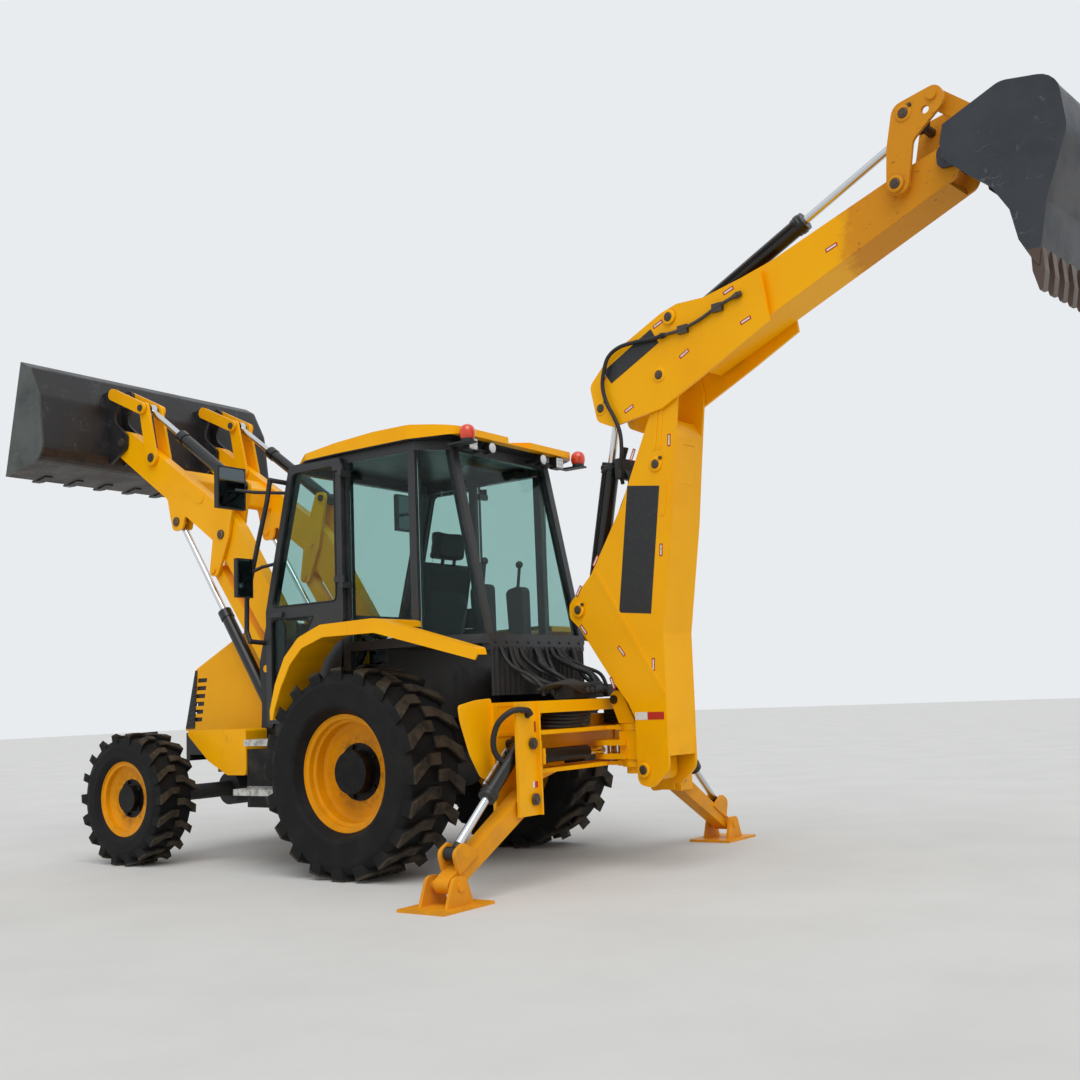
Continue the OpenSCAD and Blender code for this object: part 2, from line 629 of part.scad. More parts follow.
module cab_glass() {
    w = cab_y - post - 0.3;
    top = cab_top_z - 60.3;
    color(GLASS) machine() {
        // lower and upper windscreen, rear window
        translate([CAB_FRONT - 24, -w, cab_floor_z + 340.3])
            cube([glass_t, 2 * w, 1697.7 - cab_floor_z - 340.3]);
        slab(-w, 2 * w) polygon([[CAB_FRONT - 26, 1750.3], [CAB_FRONT - 19, 1750.3], [A_TOP[0] + 19, top],
            [A_TOP[0] + 12, top]]);
        slab(-479.7, 959.4) polygon([[D_LOW[0] + 20, cab_sill_z + 0.3], [D_LOW[0] + 27, cab_sill_z + 0.3],
            [D_TOP[0] + 33, top], [D_TOP[0] + 26, top]]);
        both() {
            translate([C_X + post + 0.3, cab_y - 30, cab_sill_z + 0.3])
                cube([B_X - 45 - C_X - post - 0.6, glass_t, top - cab_sill_z - 0.3]);
            pane([[C_X - 2.6, cab_y - 24, cab_sill_z + 0.3], [C_X - 2.6, cab_y - 24, top],
                [D_TOP[0] + 28, D_TOP[1] + 6.6, top], [D_LOW[0] + 28, D_LOW[1] + 36.6, cab_sill_z + 0.3]],
                [2, -glass_t, 0]);
        }
    }
}
// Fender plates over the rear wheels, cut back beside the doors
FENDER = [[-1150, 1335, 0], [-1140, 1375, 20], [-350, 1600, 200], [120, 1590, 60], [320, 1520, 80],
    [450, 1400, 60], [540, 1230, 60], [592, 1060, 20], [590, 1000, 0], [566, 1000, 0], [564, 1055, 20],
        [510, 1218, 60],
    [428, 1378, 60], [308, 1492, 80], [118, 1560, 60], [-345, 1568, 200], [-1120, 1335, 0]];
module fenders() {
    color(YELLOW) machine() both()
        difference() {
            union() {
                slab(cab_y + 0.3, 381) shape(FENDER);
                slab(1090, 12) shape([[-1150, 1335, 0], [-1140, 1375, 20], [-350, 1600, 200],
                    [120, 1590, 60],
                    [320, 1520, 80], [450, 1400, 60], [540, 1230, 60], [592, 1060, 20], [590, 1000, 0],
                        [566, 1000, 0],
                    [551, 1060, 20], [490, 1200, 60], [400, 1350, 60], [290, 1450, 80], [100, 1510, 60],
                    [-345, 1510, 200], [-1130, 1305, 0]]);
            }
            translate([HINGE[0] - 25, cab_y, 900]) cube([500, 46, 800]);
            translate([-1200, cab_y, 1200]) cube([800, 290, 500]);
        }
}
module seat_parts() {
    color(GREY) machine() {
        translate([160, -170, cab_floor_z + 30.3]) cube([240, 340, 380]);
        translate([110, -235, cab_floor_z + 410]) cube([370, 470, 50]);
        slab(-230, 460) shape([[60, cab_floor_z + 420, 20], [130, cab_floor_z + 420, 20],
            [140, cab_floor_z + 600, 60], [20, cab_floor_z + 1080, 50], [-70, cab_floor_z + 1070, 50]]);
        slab(-130, 260) shape([[-75, cab_floor_z + 1110, 30], [10, cab_floor_z + 1110, 30],
            [-20, cab_floor_z + 1290, 35], [-95, cab_floor_z + 1280, 35]]);
        for (s = [-70, 55])
            slab(s, 15) polygon([[-45, cab_floor_z + 1060], [-25, cab_floor_z + 1060],
                [-40, cab_floor_z + 1130],
                [-60, cab_floor_z + 1130]]);
        both() slab(255, 50) shape([[90, cab_floor_z + 640, 20], [400, cab_floor_z + 640, 25],
            [400, cab_floor_z + 590, 20], [230, cab_floor_z + 570, 20], [200, cab_floor_z + 440, 10],
            [120, cab_floor_z + 440, 10]]);
        both() translate([120, 225, cab_floor_z + 425]) cube([120, 60, 30]);
    }
}
module seat_cushion() {
    color(GREY) machine()
        slab(-225, 450) shape([[150, cab_floor_z + 460.3, 10], [500, cab_floor_z + 460.3, 30],
            [515, cab_floor_z + 560, 40], [160, cab_floor_z + 575, 30]]);
}
module control_parts() {
    color(BLACK) machine() {
        slab(-300, 600) shape([[880, cab_floor_z + 30.3, 0], [1019.7, cab_floor_z + 30.3, 0],
            [1019.7, cab_floor_z + 330, 0], [930, cab_floor_z + 420, 50], [860, cab_floor_z + 330, 40]]);
        translate([900, 0, cab_floor_z + 340]) rotate([0, -32, 0]) cylinder(r = 28, h = 290);
        translate([747, 0, cab_floor_z + 585]) rotate([0, -32, 0]) {
            rotate_extrude() translate([185, 0]) circle(r = 16);
            translate([0, 0, -8]) cylinder(r = 45, h = 26);
            for (i = [0:2]) rotate([0, 0, i * 120]) translate([0, -14, -5]) cube([184, 28, 10]);
        }
        both() {
            slab(150, 90) shape([[-560, cab_sill_z - 29.7, 0], [-440, cab_sill_z - 29.7, 0],
                [-420, cab_sill_z + 330, 40], [-560, cab_sill_z + 360, 40]]);
            translate([-490, 195, cab_sill_z + 320]) rotate([0, -8, 0]) cylinder(r = 11, h = 170);
            translate([-513, 195, cab_sill_z + 505]) sphere(r = 26);
        }
    }
}

module operator_station() {
    seat_parts();
    control_parts();
}
// Bent tube through points, with a ball at each bend
module tube(pts, r) {
    for (i = [0:len(pts) - 2]) {
        d = pts[i + 1] - pts[i];
        translate(pts[i]) rotate([0, acos(d[2] / norm(d)), atan2(d[1], d[0])]) cylinder(r = r, h = norm(d));
    }
    for (i = [1:len(pts) - 2]) translate(pts[i]) sphere(r = r + 1.2);
}
// Tube that starts on a small flange on the cab's side
module rail(pts, r) {
    rod_y([pts[0][0], pts[0][2]], cab_y + 0.3, 14, r + 2);
    tube(pts, r);
}
// Handrails, mirrors, working lamps and beacons
module cab_fittings() {
    side = cab_y + 13;
    color(BLACK) machine() both() {
        rail([[801, side, 2640], [842, 850, 2652], [872, 851, 2508], [974, 852, 2204], [1088, 853, 1840],
            [1094, 852, 1615], [1062, 850, 1543], [1028, side, 1532]], 17);
        rod_y([1028, 1532], cab_y + 0.3, 14, 16);
        translate([990, 880, 1840]) cube([36, 140, 270]);
        rail([[942, side, 2080], [985, 800, 2060], [1008, 925, 2000]], 12);
        translate([1150, 800, 2480]) cube([40, 250, 300]);
        rail([[815, side, 2570], [1060, 800, 2600], [1165, 900, 2620]], 12);
        lamp_at(490, 89.5) translate([0, -45, -40]) cube([60, 90, 80]);
        lamp_at(290, D_TOP[0] + 639.7) rotate([0, 90, 0]) cylinder(r = 38, h = 60);
        // bar between the lamps and the beacon's foot
        translate([-660, 240, 2700]) cube([40, 430, 12]);
        translate([-800, 590, 2700]) cube([160, 80, 12]);
        translate([-755, 630, 2705]) {
            cylinder(r = 42, h = 22);
            translate([0, 0, 21]) cylinder(r = 36, h = 60);
            translate([0, 0, 80]) sphere(r = 37);
        }
    }
}
module lamp_at(y, reach) {
    translate([-690, y, 2727]) children();
    translate([-640, y - 12, 2715]) cube([reach, 24, 24]);
}
// Door in the front half of each side, hinged on the B-post
module door(side) {
    in = cab_y + 6;
    color(BLACK) machine() scale_side(side) {
        difference() {
            slab(in, 32) shape([[250, 1625, 20], [500, 1625, 40], [600, 1490, 0], [655, 1400, 0],
                [705, 1260, 60],
                [720, cab_floor_z + 10, 30], [1000, cab_floor_z + 10, 40], [1000, 1755, 60],
                    [752, 2740, 30], [250, 2740, 30]]);
            slab(in - 1, 34) shape([[312, 1775, 40], [938, 1775, 40], [712, 2688, 40], [312, 2688, 40]]);
            slab(in - 1, 34) shape([[532, 1685, 40], [652, 1510, 0], [706, 1412, 0], [757, 1270, 60],
                [774, 1032, 40], [946, 1032, 40], [946, 1685, 40]]);
        }
        for (z = HINGE_Z) {
            translate([HINGE[0] + 5, in + 20, z]) cube([60, HINGE[1] - in - 4, 42]);
            translate([HINGE[0], HINGE[1], z]) cylinder(r = 16, h = 42);
            translate([HINGE[0], HINGE[1], z - 41]) cylinder(r = 9, h = 60);
        }
        // handle bar across the lower window
        slab(in + 31, 20) shape([[820, 1700, 10], [960, 1700, 10], [960, 1735, 10], [820, 1735, 10]]);
    }
}
module door_left() { door(1); }
module door_right() { door(-1); }

// Bonnet: thin shell with a sloping top and a grille front
module bonnet() {
    color(YELLOW) machine() {
        difference() {
            slab(-bonnet_y, 2 * bonnet_y) shape([[bonnet_rear_x, 928, 0],
                [bonnet_rear_x, bonnet_rear_z, 30],
                [1700, 1655, 200], [bonnet_front_x, bonnet_front_z, 60], [2388, 928, 20]]);
            slab(-bonnet_y + sheet, 2 * bonnet_y - 2 * sheet) shape([[bonnet_rear_x - 1, 900, 0],
                [bonnet_rear_x - 1, bonnet_rear_z - sheet, 0], [1697, 1655 - sheet, 200],
                [bonnet_front_x - 8, bonnet_front_z - sheet, 55], [2378, 900, 20]]);
            for (i = [0:5])
                translate([2200, -300, 960 + i * 70]) cube([300, 600, 40]);
            both() for (i = [0:5])
                slab(bonnet_y - 20, 40) polygon([[2120 + i * 12, 1330 - i * 60],
                    [2230 + i * 12, 1330 - i * 60],
                    [2236 + i * 12, 1298 - i * 60], [2126 + i * 12, 1298 - i * 60]]);
        }
        // hinge knuckles at the rear edge
        both() difference() {
            slab(230, 60) shape([[BONNET_HINGE[0] - 14, BONNET_HINGE[1] - 26, 0],
                [BONNET_HINGE[0] + 14, BONNET_HINGE[1] - 26, 0],
                    [BONNET_HINGE[0] + 14, BONNET_HINGE[1] + 14, 12],
                [BONNET_HINGE[0] - 14, BONNET_HINGE[1] + 14, 12]]);
        }
        rod_y(BONNET_HINGE, -289, 578, 8);
    }
}

// Loader arms: two bent box beams with a cross tube
module arm_outline() {
    polygon(concat([for (a = [176:16:304]) ARM_PIVOT + 98 * [cos(a), sin(a)]],
        rounded([[1334, 1670, 0], [1719, 2202, 0], [1800, 2324, 0], [2190, 2599, 20], [2215, 2500, 25],
            [2330, 2480, 50],
            [2365, 2600, 25], [2400, 2750, 60], [3010, 3180, 60], [3045, 3290, 60], [2960, 3400, 60],
                [2870, 3363, 30],
            [1664, 2552, 90], [1560, 2440, 60], [1068, 1712, 0]])));
}
module loader_arms() {
    color(YELLOW) machine() {
        both() difference() {
            union() {
                slab(arm_y - arm_w / 2, arm_w) arm_outline();
                slab(arm_y + arm_w / 2 - 1, 6) shape(bar([2010, 2715], [2170, 2822], 46, 46));
            }
            for (p = [LEVER_PIN, BUCKET_PIN, CRANK_PIN])
                rod_y(p, arm_y - arm_w, 2 * arm_w, pin_r + pin_gap);
            // slot for the lift ram's rod eye
            translate([LIFT_TOP[0] - 125, arm_y - 31, LIFT_TOP[1] - 90]) cube([250, 62, 197]);
        }
        both() rod_y(ARM_PIVOT, arm_y - TOWER_IN - plate - 12, 2 * TOWER_IN + 2 * plate + 24, pin_r);
        both() for (y0 = [arm_y - arm_w / 2 - 12, arm_y + arm_w / 2 - 1]) rod_y(LIFT_TOP, y0, 13, pin_r);
        // cross member between the arms
        slab(-arm_y + arm_w / 2 - 1, 2 * arm_y - arm_w + 2) shape([[2225, 2700, 30], [2420, 2838, 30],
            [2420, 3030, 30], [2225, 2900, 30]]);
    }
}
// Crank plates astride the arm, carried on a pin through it
CRANK_IN = arm_w / 2 + side_gap;
module cranks() {
    color(YELLOW) machine() both() {
        for (y0 = [arm_y - CRANK_IN - lever_t, arm_y + CRANK_IN])
            difference() {
                slab(y0, lever_t) shape([[CRANK_TOP[0] - 60, CRANK_TOP[1] + 50, 50],
                    [CRANK_TOP[0] + 60, CRANK_TOP[1] + 50, 50], [CRANK_PIN[0] + 85, CRANK_PIN[1] + 40, 30],
                    [CRANK_LOW[0] + 50, CRANK_LOW[1] - 45, 45], [CRANK_LOW[0] - 45, CRANK_LOW[1] - 50, 45],
                    [CRANK_PIN[0] - 85, CRANK_PIN[1] - 30, 30]]);
                for (p = [CRANK_TOP, CRANK_LOW]) rod_y(p, y0 - 1, lever_t + 2, pin_r + pin_gap);
            }
        rod_y(CRANK_PIN, arm_y - CRANK_IN - lever_t - 14, 2 * (CRANK_IN + lever_t + 14), pin_r);
    }
}
module level_links() {
    color(YELLOW) machine() both() {
        slab(arm_y - arm_w / 2 + 6, arm_w - 12) shape(bar(LINK_PIN, CRANK_LOW, 50, 42));
        rod_y(LINK_PIN, arm_y - TOWER_IN - plate - 12, 2 * (TOWER_IN + plate + 12), pin_r);
        rod_y(CRANK_LOW, arm_y - CRANK_IN - lever_t - 12, 2 * (CRANK_IN + lever_t + 12), pin_r);
    }
}
// Pins that keep level while the arms swing: the lever and the bucket turn on them
module lever_pins() {
    color(GREY) machine() both() {
        rod_y(LEVER_PIN, arm_y - CRANK_IN - lever_t - 14, 2 * (CRANK_IN + lever_t + 14), pin_r);
    }
}
module levers() {
    color(YELLOW) machine() both()
        for (y0 = [arm_y - CRANK_IN - lever_t, arm_y + CRANK_IN])
            difference() {
                slab(y0, lever_t) shape(bar(LEVER_PIN, LEVER_TOP, 62, 52));
                for (p = [LEVER_PIN, LEVER_TOP]) rod_y(p, y0 - 1, lever_t + 2, pin_r + pin_gap);
            }
}
LINK_IN = CRANK_IN + lever_t + side_gap;
link_t = 22;
// Stub pins that keep level: the lever turns on their inner ends, the link on their outer ends
module link_pins() {
    color(GREY) machine() both() for (s = [-1, 1])
        translate([0, arm_y, 0]) scale_side(s)
            rod_y(LEVER_TOP, CRANK_IN, lever_t + side_gap + link_t + 12, pin_r);
}
module bucket_links() {
    color(YELLOW) machine() both()
        for (s = [-1, 1])
            translate([0, arm_y, 0]) scale_side(s) {
                difference() {
                    slab(LINK_IN, link_t) shape(bar(LEVER_TOP, BRACKET_PIN, 48, 48));
                    rod_y(LEVER_TOP, LINK_IN - 1, link_t + 2, pin_r + pin_gap);
                }
                rod_y(BRACKET_PIN, CRANK_IN, LINK_IN - CRANK_IN + 1, pin_r);
            }
}
module bucket_pins() {
    color(GREY) machine() both()
        rod_y(BUCKET_PIN, arm_y - CRANK_IN - lever_t - 14, 2 * (CRANK_IN + lever_t + 14), pin_r);
}
// Loader bucket: curved sheet between two end plates, lugs at the back, teeth in front
B_HEEL = [3080, 3110];
B_TOP = [3400, 3935];
B_EDGE = [3600, 3020];
module bucket_outline() {
    shape([[B_HEEL[0], B_HEEL[1], 120], [B_EDGE[0], B_EDGE[1], 0], [B_TOP[0] + 10, B_TOP[1], 0],
        [B_TOP[0] - 100, B_TOP[1] - 60, 0], [3150, 3620, 120]]);
}
// Point at the loader bucket's lip: d along the floor sheet, n above it
LIP = unit(B_EDGE - B_HEEL);
function on_lip(d, n) = B_EDGE + d * LIP + n * [-LIP[1], LIP[0]];
module loader_bucket() {
    color(GREY) machine() {
        slab(-bucket_y, 2 * bucket_y) shape([[B_HEEL[0], B_HEEL[1], 120], [B_EDGE[0], B_EDGE[1], 0],
            [B_EDGE[0], B_EDGE[1] + 20, 0], [3200, 3140, 100], [3185, 3600, 120],
                [B_TOP[0] + 10, B_TOP[1] - 20, 0],
            [B_TOP[0], B_TOP[1], 0], [B_TOP[0] - 110, B_TOP[1] - 60, 60], [3150, 3620, 120]]);
        both() {
            slab(bucket_y - bucket_t, bucket_t) bucket_outline();
            for (y0 = [arm_y - CRANK_IN - lever_t, arm_y + CRANK_IN])
                difference() {
                    slab(y0, lever_t) shape([[BUCKET_PIN[0] - 55, BUCKET_PIN[1] - 55, 50],
                        [3110, 3130, 0], [3180, 3600, 0], [3250, 3740, 0],
                        [BRACKET_PIN[0] - 50, BRACKET_PIN[1] + 60, 50],
                            [BRACKET_PIN[0] - 60, BRACKET_PIN[1] - 60, 30],
                        [3080, 3500, 80], [BUCKET_PIN[0] - 60, BUCKET_PIN[1] + 60, 50]]);
                    for (p = [BUCKET_PIN, BRACKET_PIN]) rod_y(p, y0 - 1, lever_t + 2, pin_r + pin_gap);
                }
        }
        for (i = [-3:3])
            slab(i * tooth_gap - 32, 64) polygon([on_lip(-130, 38), on_lip(-20, 38), on_lip(68, 16),
                on_lip(68, 4),
                on_lip(-10, -12), on_lip(-130, -9)]);
    }
}
// Lift and tilt rams, one of each on both sides
module lift_barrels() {
    color(BLACK) machine() both() {
        barrel(LIFT_BASE, LIFT_TOP, arm_y, barrel_r, 1040, 90, 12);
        rod_y(LIFT_BASE, arm_y - TOWER_IN - plate - 12, 2 * (TOWER_IN + plate + 12), pin_r);
    }
}
module lift_rods() {
    color(CHROME) machine() both() rod(LIFT_BASE, LIFT_TOP, arm_y, 860, 50, 45, 24);
}
module crank_pins() {
    color(GREY) machine() both()
        rod_y(CRANK_TOP, arm_y - CRANK_IN - lever_t - 14, 2 * (CRANK_IN + lever_t + 14), pin_r);
}
module tilt_barrels() {
    color(BLACK) machine() both()
        barrel(CRANK_TOP, LEVER_TOP, arm_y, barrel_r, 840, 90, pin_r + pin_gap);
}
module tilt_rods() {
    color(CHROME) machine() both() rod(CRANK_TOP, LEVER_TOP, arm_y, 500, 50, 45, 24);
}

// Kingpost: swings on two vertical pins and carries the boom's foot
module kingpost() {
    color(YELLOW) arm_plane() difference() {
        union() {
            translate([0, 0, LOW_PLATE_Z - 30]) cylinder(r = 45, h = 70);
            translate([0, 0, HIGH_PLATE_Z - 20]) cylinder(r = 45, h = 80);
            translate([0, 0, LOW_PLATE_Z - 52]) cylinder(r = 70, h = 40);
            translate([0, 0, LOW_PLATE_Z + 34.3]) cylinder(r = 92, h = HIGH_PLATE_Z - LOW_PLATE_Z - 44.6);
            slab(-100, 200) shape([[106, 560, 20], [BOOM_FOOT[0] + 60, 545, 50],
                [BOOM_FOOT[0] + 60, 690, 60],
                [112, HIGH_PLATE_Z - 12, 0], [-60, HIGH_PLATE_Z - 12, 0], [-60, LOW_PLATE_Z + 36, 0],
                [106, LOW_PLATE_Z + 36, 0]]);
            translate([0, 0, HIGH_PLATE_Z + 34.3]) cylinder(r = 80, h = 30);
            slab(-84, 168) shape([[RAM_FOOT[0] - 55, RAM_FOOT[1] + 55, 50],
                [RAM_FOOT[0] + 55, RAM_FOOT[1] + 55, 50],
                [60, HIGH_PLATE_Z + 36, 0], [-70, HIGH_PLATE_Z + 36, 0]]);
            for (z = [SWING_Z - 58.3, SWING_Z + 25.3])
                translate([SLEW_X - SWING_X - 36, -125, z]) cube([SWING_X - SLEW_X + 36, 250, 33]);
        }
        slab(-62, 124) polygon([[RAM_FOOT[0] - 80, RAM_FOOT[1] + 90], [RAM_FOOT[0] + 240, RAM_FOOT[1] + 90],
            [RAM_FOOT[0] + 240, HIGH_PLATE_Z + 65], [RAM_FOOT[0], HIGH_PLATE_Z + 100],
                [RAM_FOOT[0] - 80, HIGH_PLATE_Z + 120]]);
        rod_y(BOOM_FOOT, -200, 400, hoe_pin_r + 10 + pin_gap);
        rod_y(RAM_FOOT, -200, 400, hoe_pin_r + pin_gap);
    }
}
// Stamped ribs on the boom's sides: two ends and half width
BOOM_RIBS = [[[-150, 1842], [335, 1075], 15], [[400, 2560], [430, 2780], 13], [[360, 2560], [395, 2785],
    13],
    [[395, 2160], [430, 2340], 20]];
BOOM_OUTLINE = [[353, 2792, 0], [89, 2251, 0], [-188, 1840, 0], [-385, 1660, 60], [-385, 1570, 60],
    [-304, 1503, 0], [-182, 1333, 0], [-57, 1164, 0], [60, 1020, 0], [108, 930, 0], [108, 530, 50],
    [220, 510, 60], [345, 620, 80], [350, 999, 0], [351, 1432, 0], [459, 2099, 0], [560, 2900, 60],
    [520, 3080, 90], [370, 3080, 90], [333, 2950, 60]];
module boom() {
    color(YELLOW) arm_plane() {
        both() difference() {
            union() {
                slab(boom_w - arm_t, arm_t) shape(BOOM_OUTLINE);
                for (rib = BOOM_RIBS) slab(boom_w - 1, 5) shape(bar(rib[0], rib[1], rib[2], rib[2]));
                for (p = [BOOM_BOSS, BOOM_TIP, DIP_RAM_FOOT]) rod_y(p, boom_w - 1, 4, 50);
            }
            for (p = [BOOM_BOSS, BOOM_TIP, DIP_RAM_FOOT])
                rod_y(p, 0, 400, hoe_pin_r + pin_gap);
        }
        // front and rear webs, open beside the ram's eye
        difference() {
            slab(-boom_w + 1, 2 * boom_w - 2) {
                polygon([[350, 900], [355, 1432], [463, 2099], [522, 2600], [502, 2602], [443, 2101],
                    [335, 1434], [330, 902]]);
                polygon([[-170, 1865], [85, 2251], [345, 2785], [362, 2776], [102, 2241], [-153, 1855]]);
            }
            slab(-62, 124) polygon([[150, 2330], [640, 2330], [640, 2560], [240, 2590]]);
        }
        rod_y(BOOM_FOOT, -boom_w - 14, 2 * boom_w + 28, hoe_pin_r + 10);
    }
}
DIP_CHEEK = [[-60, 2800, 60], [60, 2745, 60], [450, 2790, 0], [900, 2990, 0], [1240, 3150, 0],
    [1200, 3470, 0],
    [800, 3400, 0], [600, 3410, 50], [480, 3380, 50], [60, 3200, 40], [-110, 3040, 60]];
DIP_BOX = [[650, 3060, 0], [700, 2990, 0], [2380, 3650, 60], [2440, 3760, 70], [2370, 3850, 60],
    [2100, 3780, 0],
    [1250, 3510, 0], [700, 3390, 0]];
module dipper() {
    color(YELLOW) arm_plane() {
        difference() {
            union() {
                both() slab(boom_w + 5, arm_t) shape(DIP_CHEEK);
                both() slab(dipper_w - arm_t, arm_t) shape(DIP_BOX);
                both() slab(dipper_w - 1, boom_w + 7 - dipper_w) polygon([[860, 3064], [1200, 3200],
                    [1180, 3450],
                    [800, 3395]]);
                slab(-dipper_w + 1, 2 * dipper_w - 2) polygon([[700, 2990], [2330, 3630], [2330, 3655],
                    [700, 3015]]);
                slab(-dipper_w + 1, 2 * dipper_w - 2) polygon([[1250, 3510], [2050, 3764], [2050, 3739],
                    [1250, 3485]]);
                both() rod_y(TIP_PIVOT, dipper_w - 1, 30, 60);
            }
            rod_y(BOOM_TIP, -400, 800, hoe_pin_r + pin_gap);
            rod_y(HOE_PIN, -400, 800, hoe_pin_r + pin_gap);
            rod_y(TIP_PIVOT, -400, 800, hoe_pin_r + pin_gap);
            rod_y(BKT_RAM_FOOT, -400, 800, hoe_pin_r + pin_gap);
            rod_y(DIP_TAIL, -400, 800, hoe_pin_r + pin_gap);
        }
    }
}
TIP_IN = dipper_w + 34;
module tipping_lever() {
    color(YELLOW) arm_plane() {
        both() difference() {
            slab(TIP_IN, 20) shape([[TIP_PIVOT[0] - 62, TIP_PIVOT[1] - 55, 55],
                [TIP_PIVOT[0] + 62, TIP_PIVOT[1] - 55, 55],
                [TIP_PIVOT[0] + 110, 3900, 60], [TIP_LINK[0] + 60, TIP_LINK[1] - 60, 50],
                [TIP_LINK[0] + 50, TIP_LINK[1] + 60, 55], [TIP_RAM[0] - 60, TIP_RAM[1] + 60, 70],
                    [TIP_PIVOT[0] - 40, 3900, 80]]);
            rod_y(TIP_RAM, 0, 400, hoe_pin_r + pin_gap);
            rod_y(SPARE_BORE, 0, 400, 22);
        }
        rod_y(TIP_PIVOT, -TIP_IN - 32, 2 * TIP_IN + 64, hoe_pin_r);
        // stub pins beside the link's upper end
        both() rod_y(TIP_LINK, LINK_HALF + 5, TIP_IN + 27 - LINK_HALF, hoe_pin_r);
    }
}
// Link with a forked upper end and the lifting eye's lug
LINK_HALF = 100;
SPARE_BORE = [2262, 4040];
LIFT_EYE = [2680, 4010];
module tipping_link() {
    color(YELLOW) arm_plane() difference() {
        union() {
            slab(-LINK_HALF, 2 * LINK_HALF) shape(bar(TIP_LINK, HOE_LINK, 50, 50));
            slab(-12, 24) shape([[2560, 3900, 0], [2640, 3870, 0], [2720, 3920, 30], [2712, 4050, 36],
                [2642, 4050, 36]]);
        }
        slab(-58, 116) polygon([TIP_LINK + [-135, 0], TIP_LINK + [85, -160], TIP_LINK + [170, -66],
            TIP_LINK + [-20, 110]]);
        rod_y(LIFT_EYE, -100, 200, 20);
        rod_y(TIP_LINK, -200, 400, hoe_pin_r + pin_gap);
        rod_y(HOE_LINK, -200, 400, hoe_pin_r + pin_gap);
    }
}
HOE_SHELL = smooth([[2395, 3868], [2700, 3985, 110], [2965, 3930, 120], [2990, 3650, 160], [2865, 3330, 40],
    [2800, 3020]]);
// Recess in the bucket's top for the link
HOE_WELL = smooth([[2500, 3738], [2680, 3745, 30], [2800, 3805, 30], [2808, 3950]]);
module hoe_bucket() {
    hanger = dipper_w + 6;
    color(GREY) arm_plane() {
        both() slab(hoe_w - 20, 20)
            polygon(concat(beside(HOE_SHELL, 5), [[2775, 3060], [2720, 3170], [2690, 3330], [2610, 3470],
                [2480, 3590],
                [2385, 3690], [2370, 3780]]));
        difference() {
            slab(-hoe_w + 8, 2 * hoe_w - 16) polygon(strip(HOE_SHELL, -16));
            slab(-hanger, 2 * hanger) polygon([[2300, 3780], [2300, 4100], [2812, 4100], [2812, 3780]]);
        }
        slab(-hanger - 1, 2 * hanger + 2) polygon(strip(HOE_WELL, -16));
        both() slab(hanger, 22) shape([[2290, 3710, 40], [2290, 3815, 45], [2405, 3864, 0], [2600, 3938, 0],
            [2690, 3966, 0], [2812, 3950, 0], [2822, 3796, 0], [2690, 3722, 0], [2450, 3700, 40]]);
        for (p = [HOE_PIN, HOE_LINK]) rod_y(p, -hanger - 25, 2 * hanger + 50, hoe_pin_r);
        for (i = [0:hoe_teeth - 1])
            translate([0, -hoe_w + 35 + i * (2 * hoe_w - 70) / (hoe_teeth - 1), 0])
                slab(-28, 56) polygon([[2770, 3110], [2825, 3110], [2830, 2990], [2812, 2900],
                    [2795, 2900], [2770, 3000]]);
    }
}
// Rams of the digging arm
module boom_barrel() {
    color(BLACK) arm_plane() {
        barrel(RAM_FOOT, BOOM_BOSS, 0, 56, 1050, 96, 12);
        rod_y(RAM_FOOT, -95, 190, hoe_pin_r);
    }
}
module boom_rod() {
    color(CHROME) arm_plane() rod(RAM_FOOT, BOOM_BOSS, 0, 100, 70, 52, hoe_pin_r);
}
module dipper_barrel() {
    color(BLACK) arm_plane() {
        barrel(DIP_RAM_FOOT, DIP_TAIL, 0, 56, 960, 96, 12);
        rod_y(DIP_RAM_FOOT, -boom_w - 14, 2 * boom_w + 28, hoe_pin_r);
    }
}
module dipper_rod() {
    color(CHROME) arm_plane() rod(DIP_RAM_FOOT, DIP_TAIL, 0, 230, 70, 52, hoe_pin_r);
}
module crowd_barrel() {
    color(BLACK) arm_plane() {
        barrel(BKT_RAM_FOOT, TIP_RAM, 0, 50, 960, 90, 12);
        rod_y(BKT_RAM_FOOT, -boom_w - 34, 2 * boom_w + 68, hoe_pin_r);
    }
}
module crowd_rod() {
    color(CHROME) arm_plane() rod(BKT_RAM_FOOT, TIP_RAM, 0, 500, 70, 50, hoe_pin_r);
}
module swing_rod(side) {
    reach = SWING_BASE_Y - side * SWING_EAR_Y[side > 0 ? 0 : 1];
    color(CHROME) machine() scale_side(side)
        translate([SWING_X, SWING_BASE_Y, SWING_Z]) rotate([90, 0, 0]) {
            translate([0, 0, 270]) cylinder(r = 22, h = reach - 290);
            translate([0, 0, reach]) rotate([90, 0, 0])
                translate([0, 0, -25]) cylinder(r = 36, h = 50);
        }
}
module swing_rod_left() { swing_rod(1); }
module swing_rod_right() { swing_rod(-1); }

// Stabilisers: leg outline and pad in the plane across the machine
module across(x0, t) {
    translate([x0, 0, 0]) rotate([90, 0, 90]) linear_extrude(t) children();
}
module rod_x(p, x0, t, r) {
    translate([x0, p[0], p[1]]) rotate([0, 90, 0]) cylinder(r = r, h = t);
}
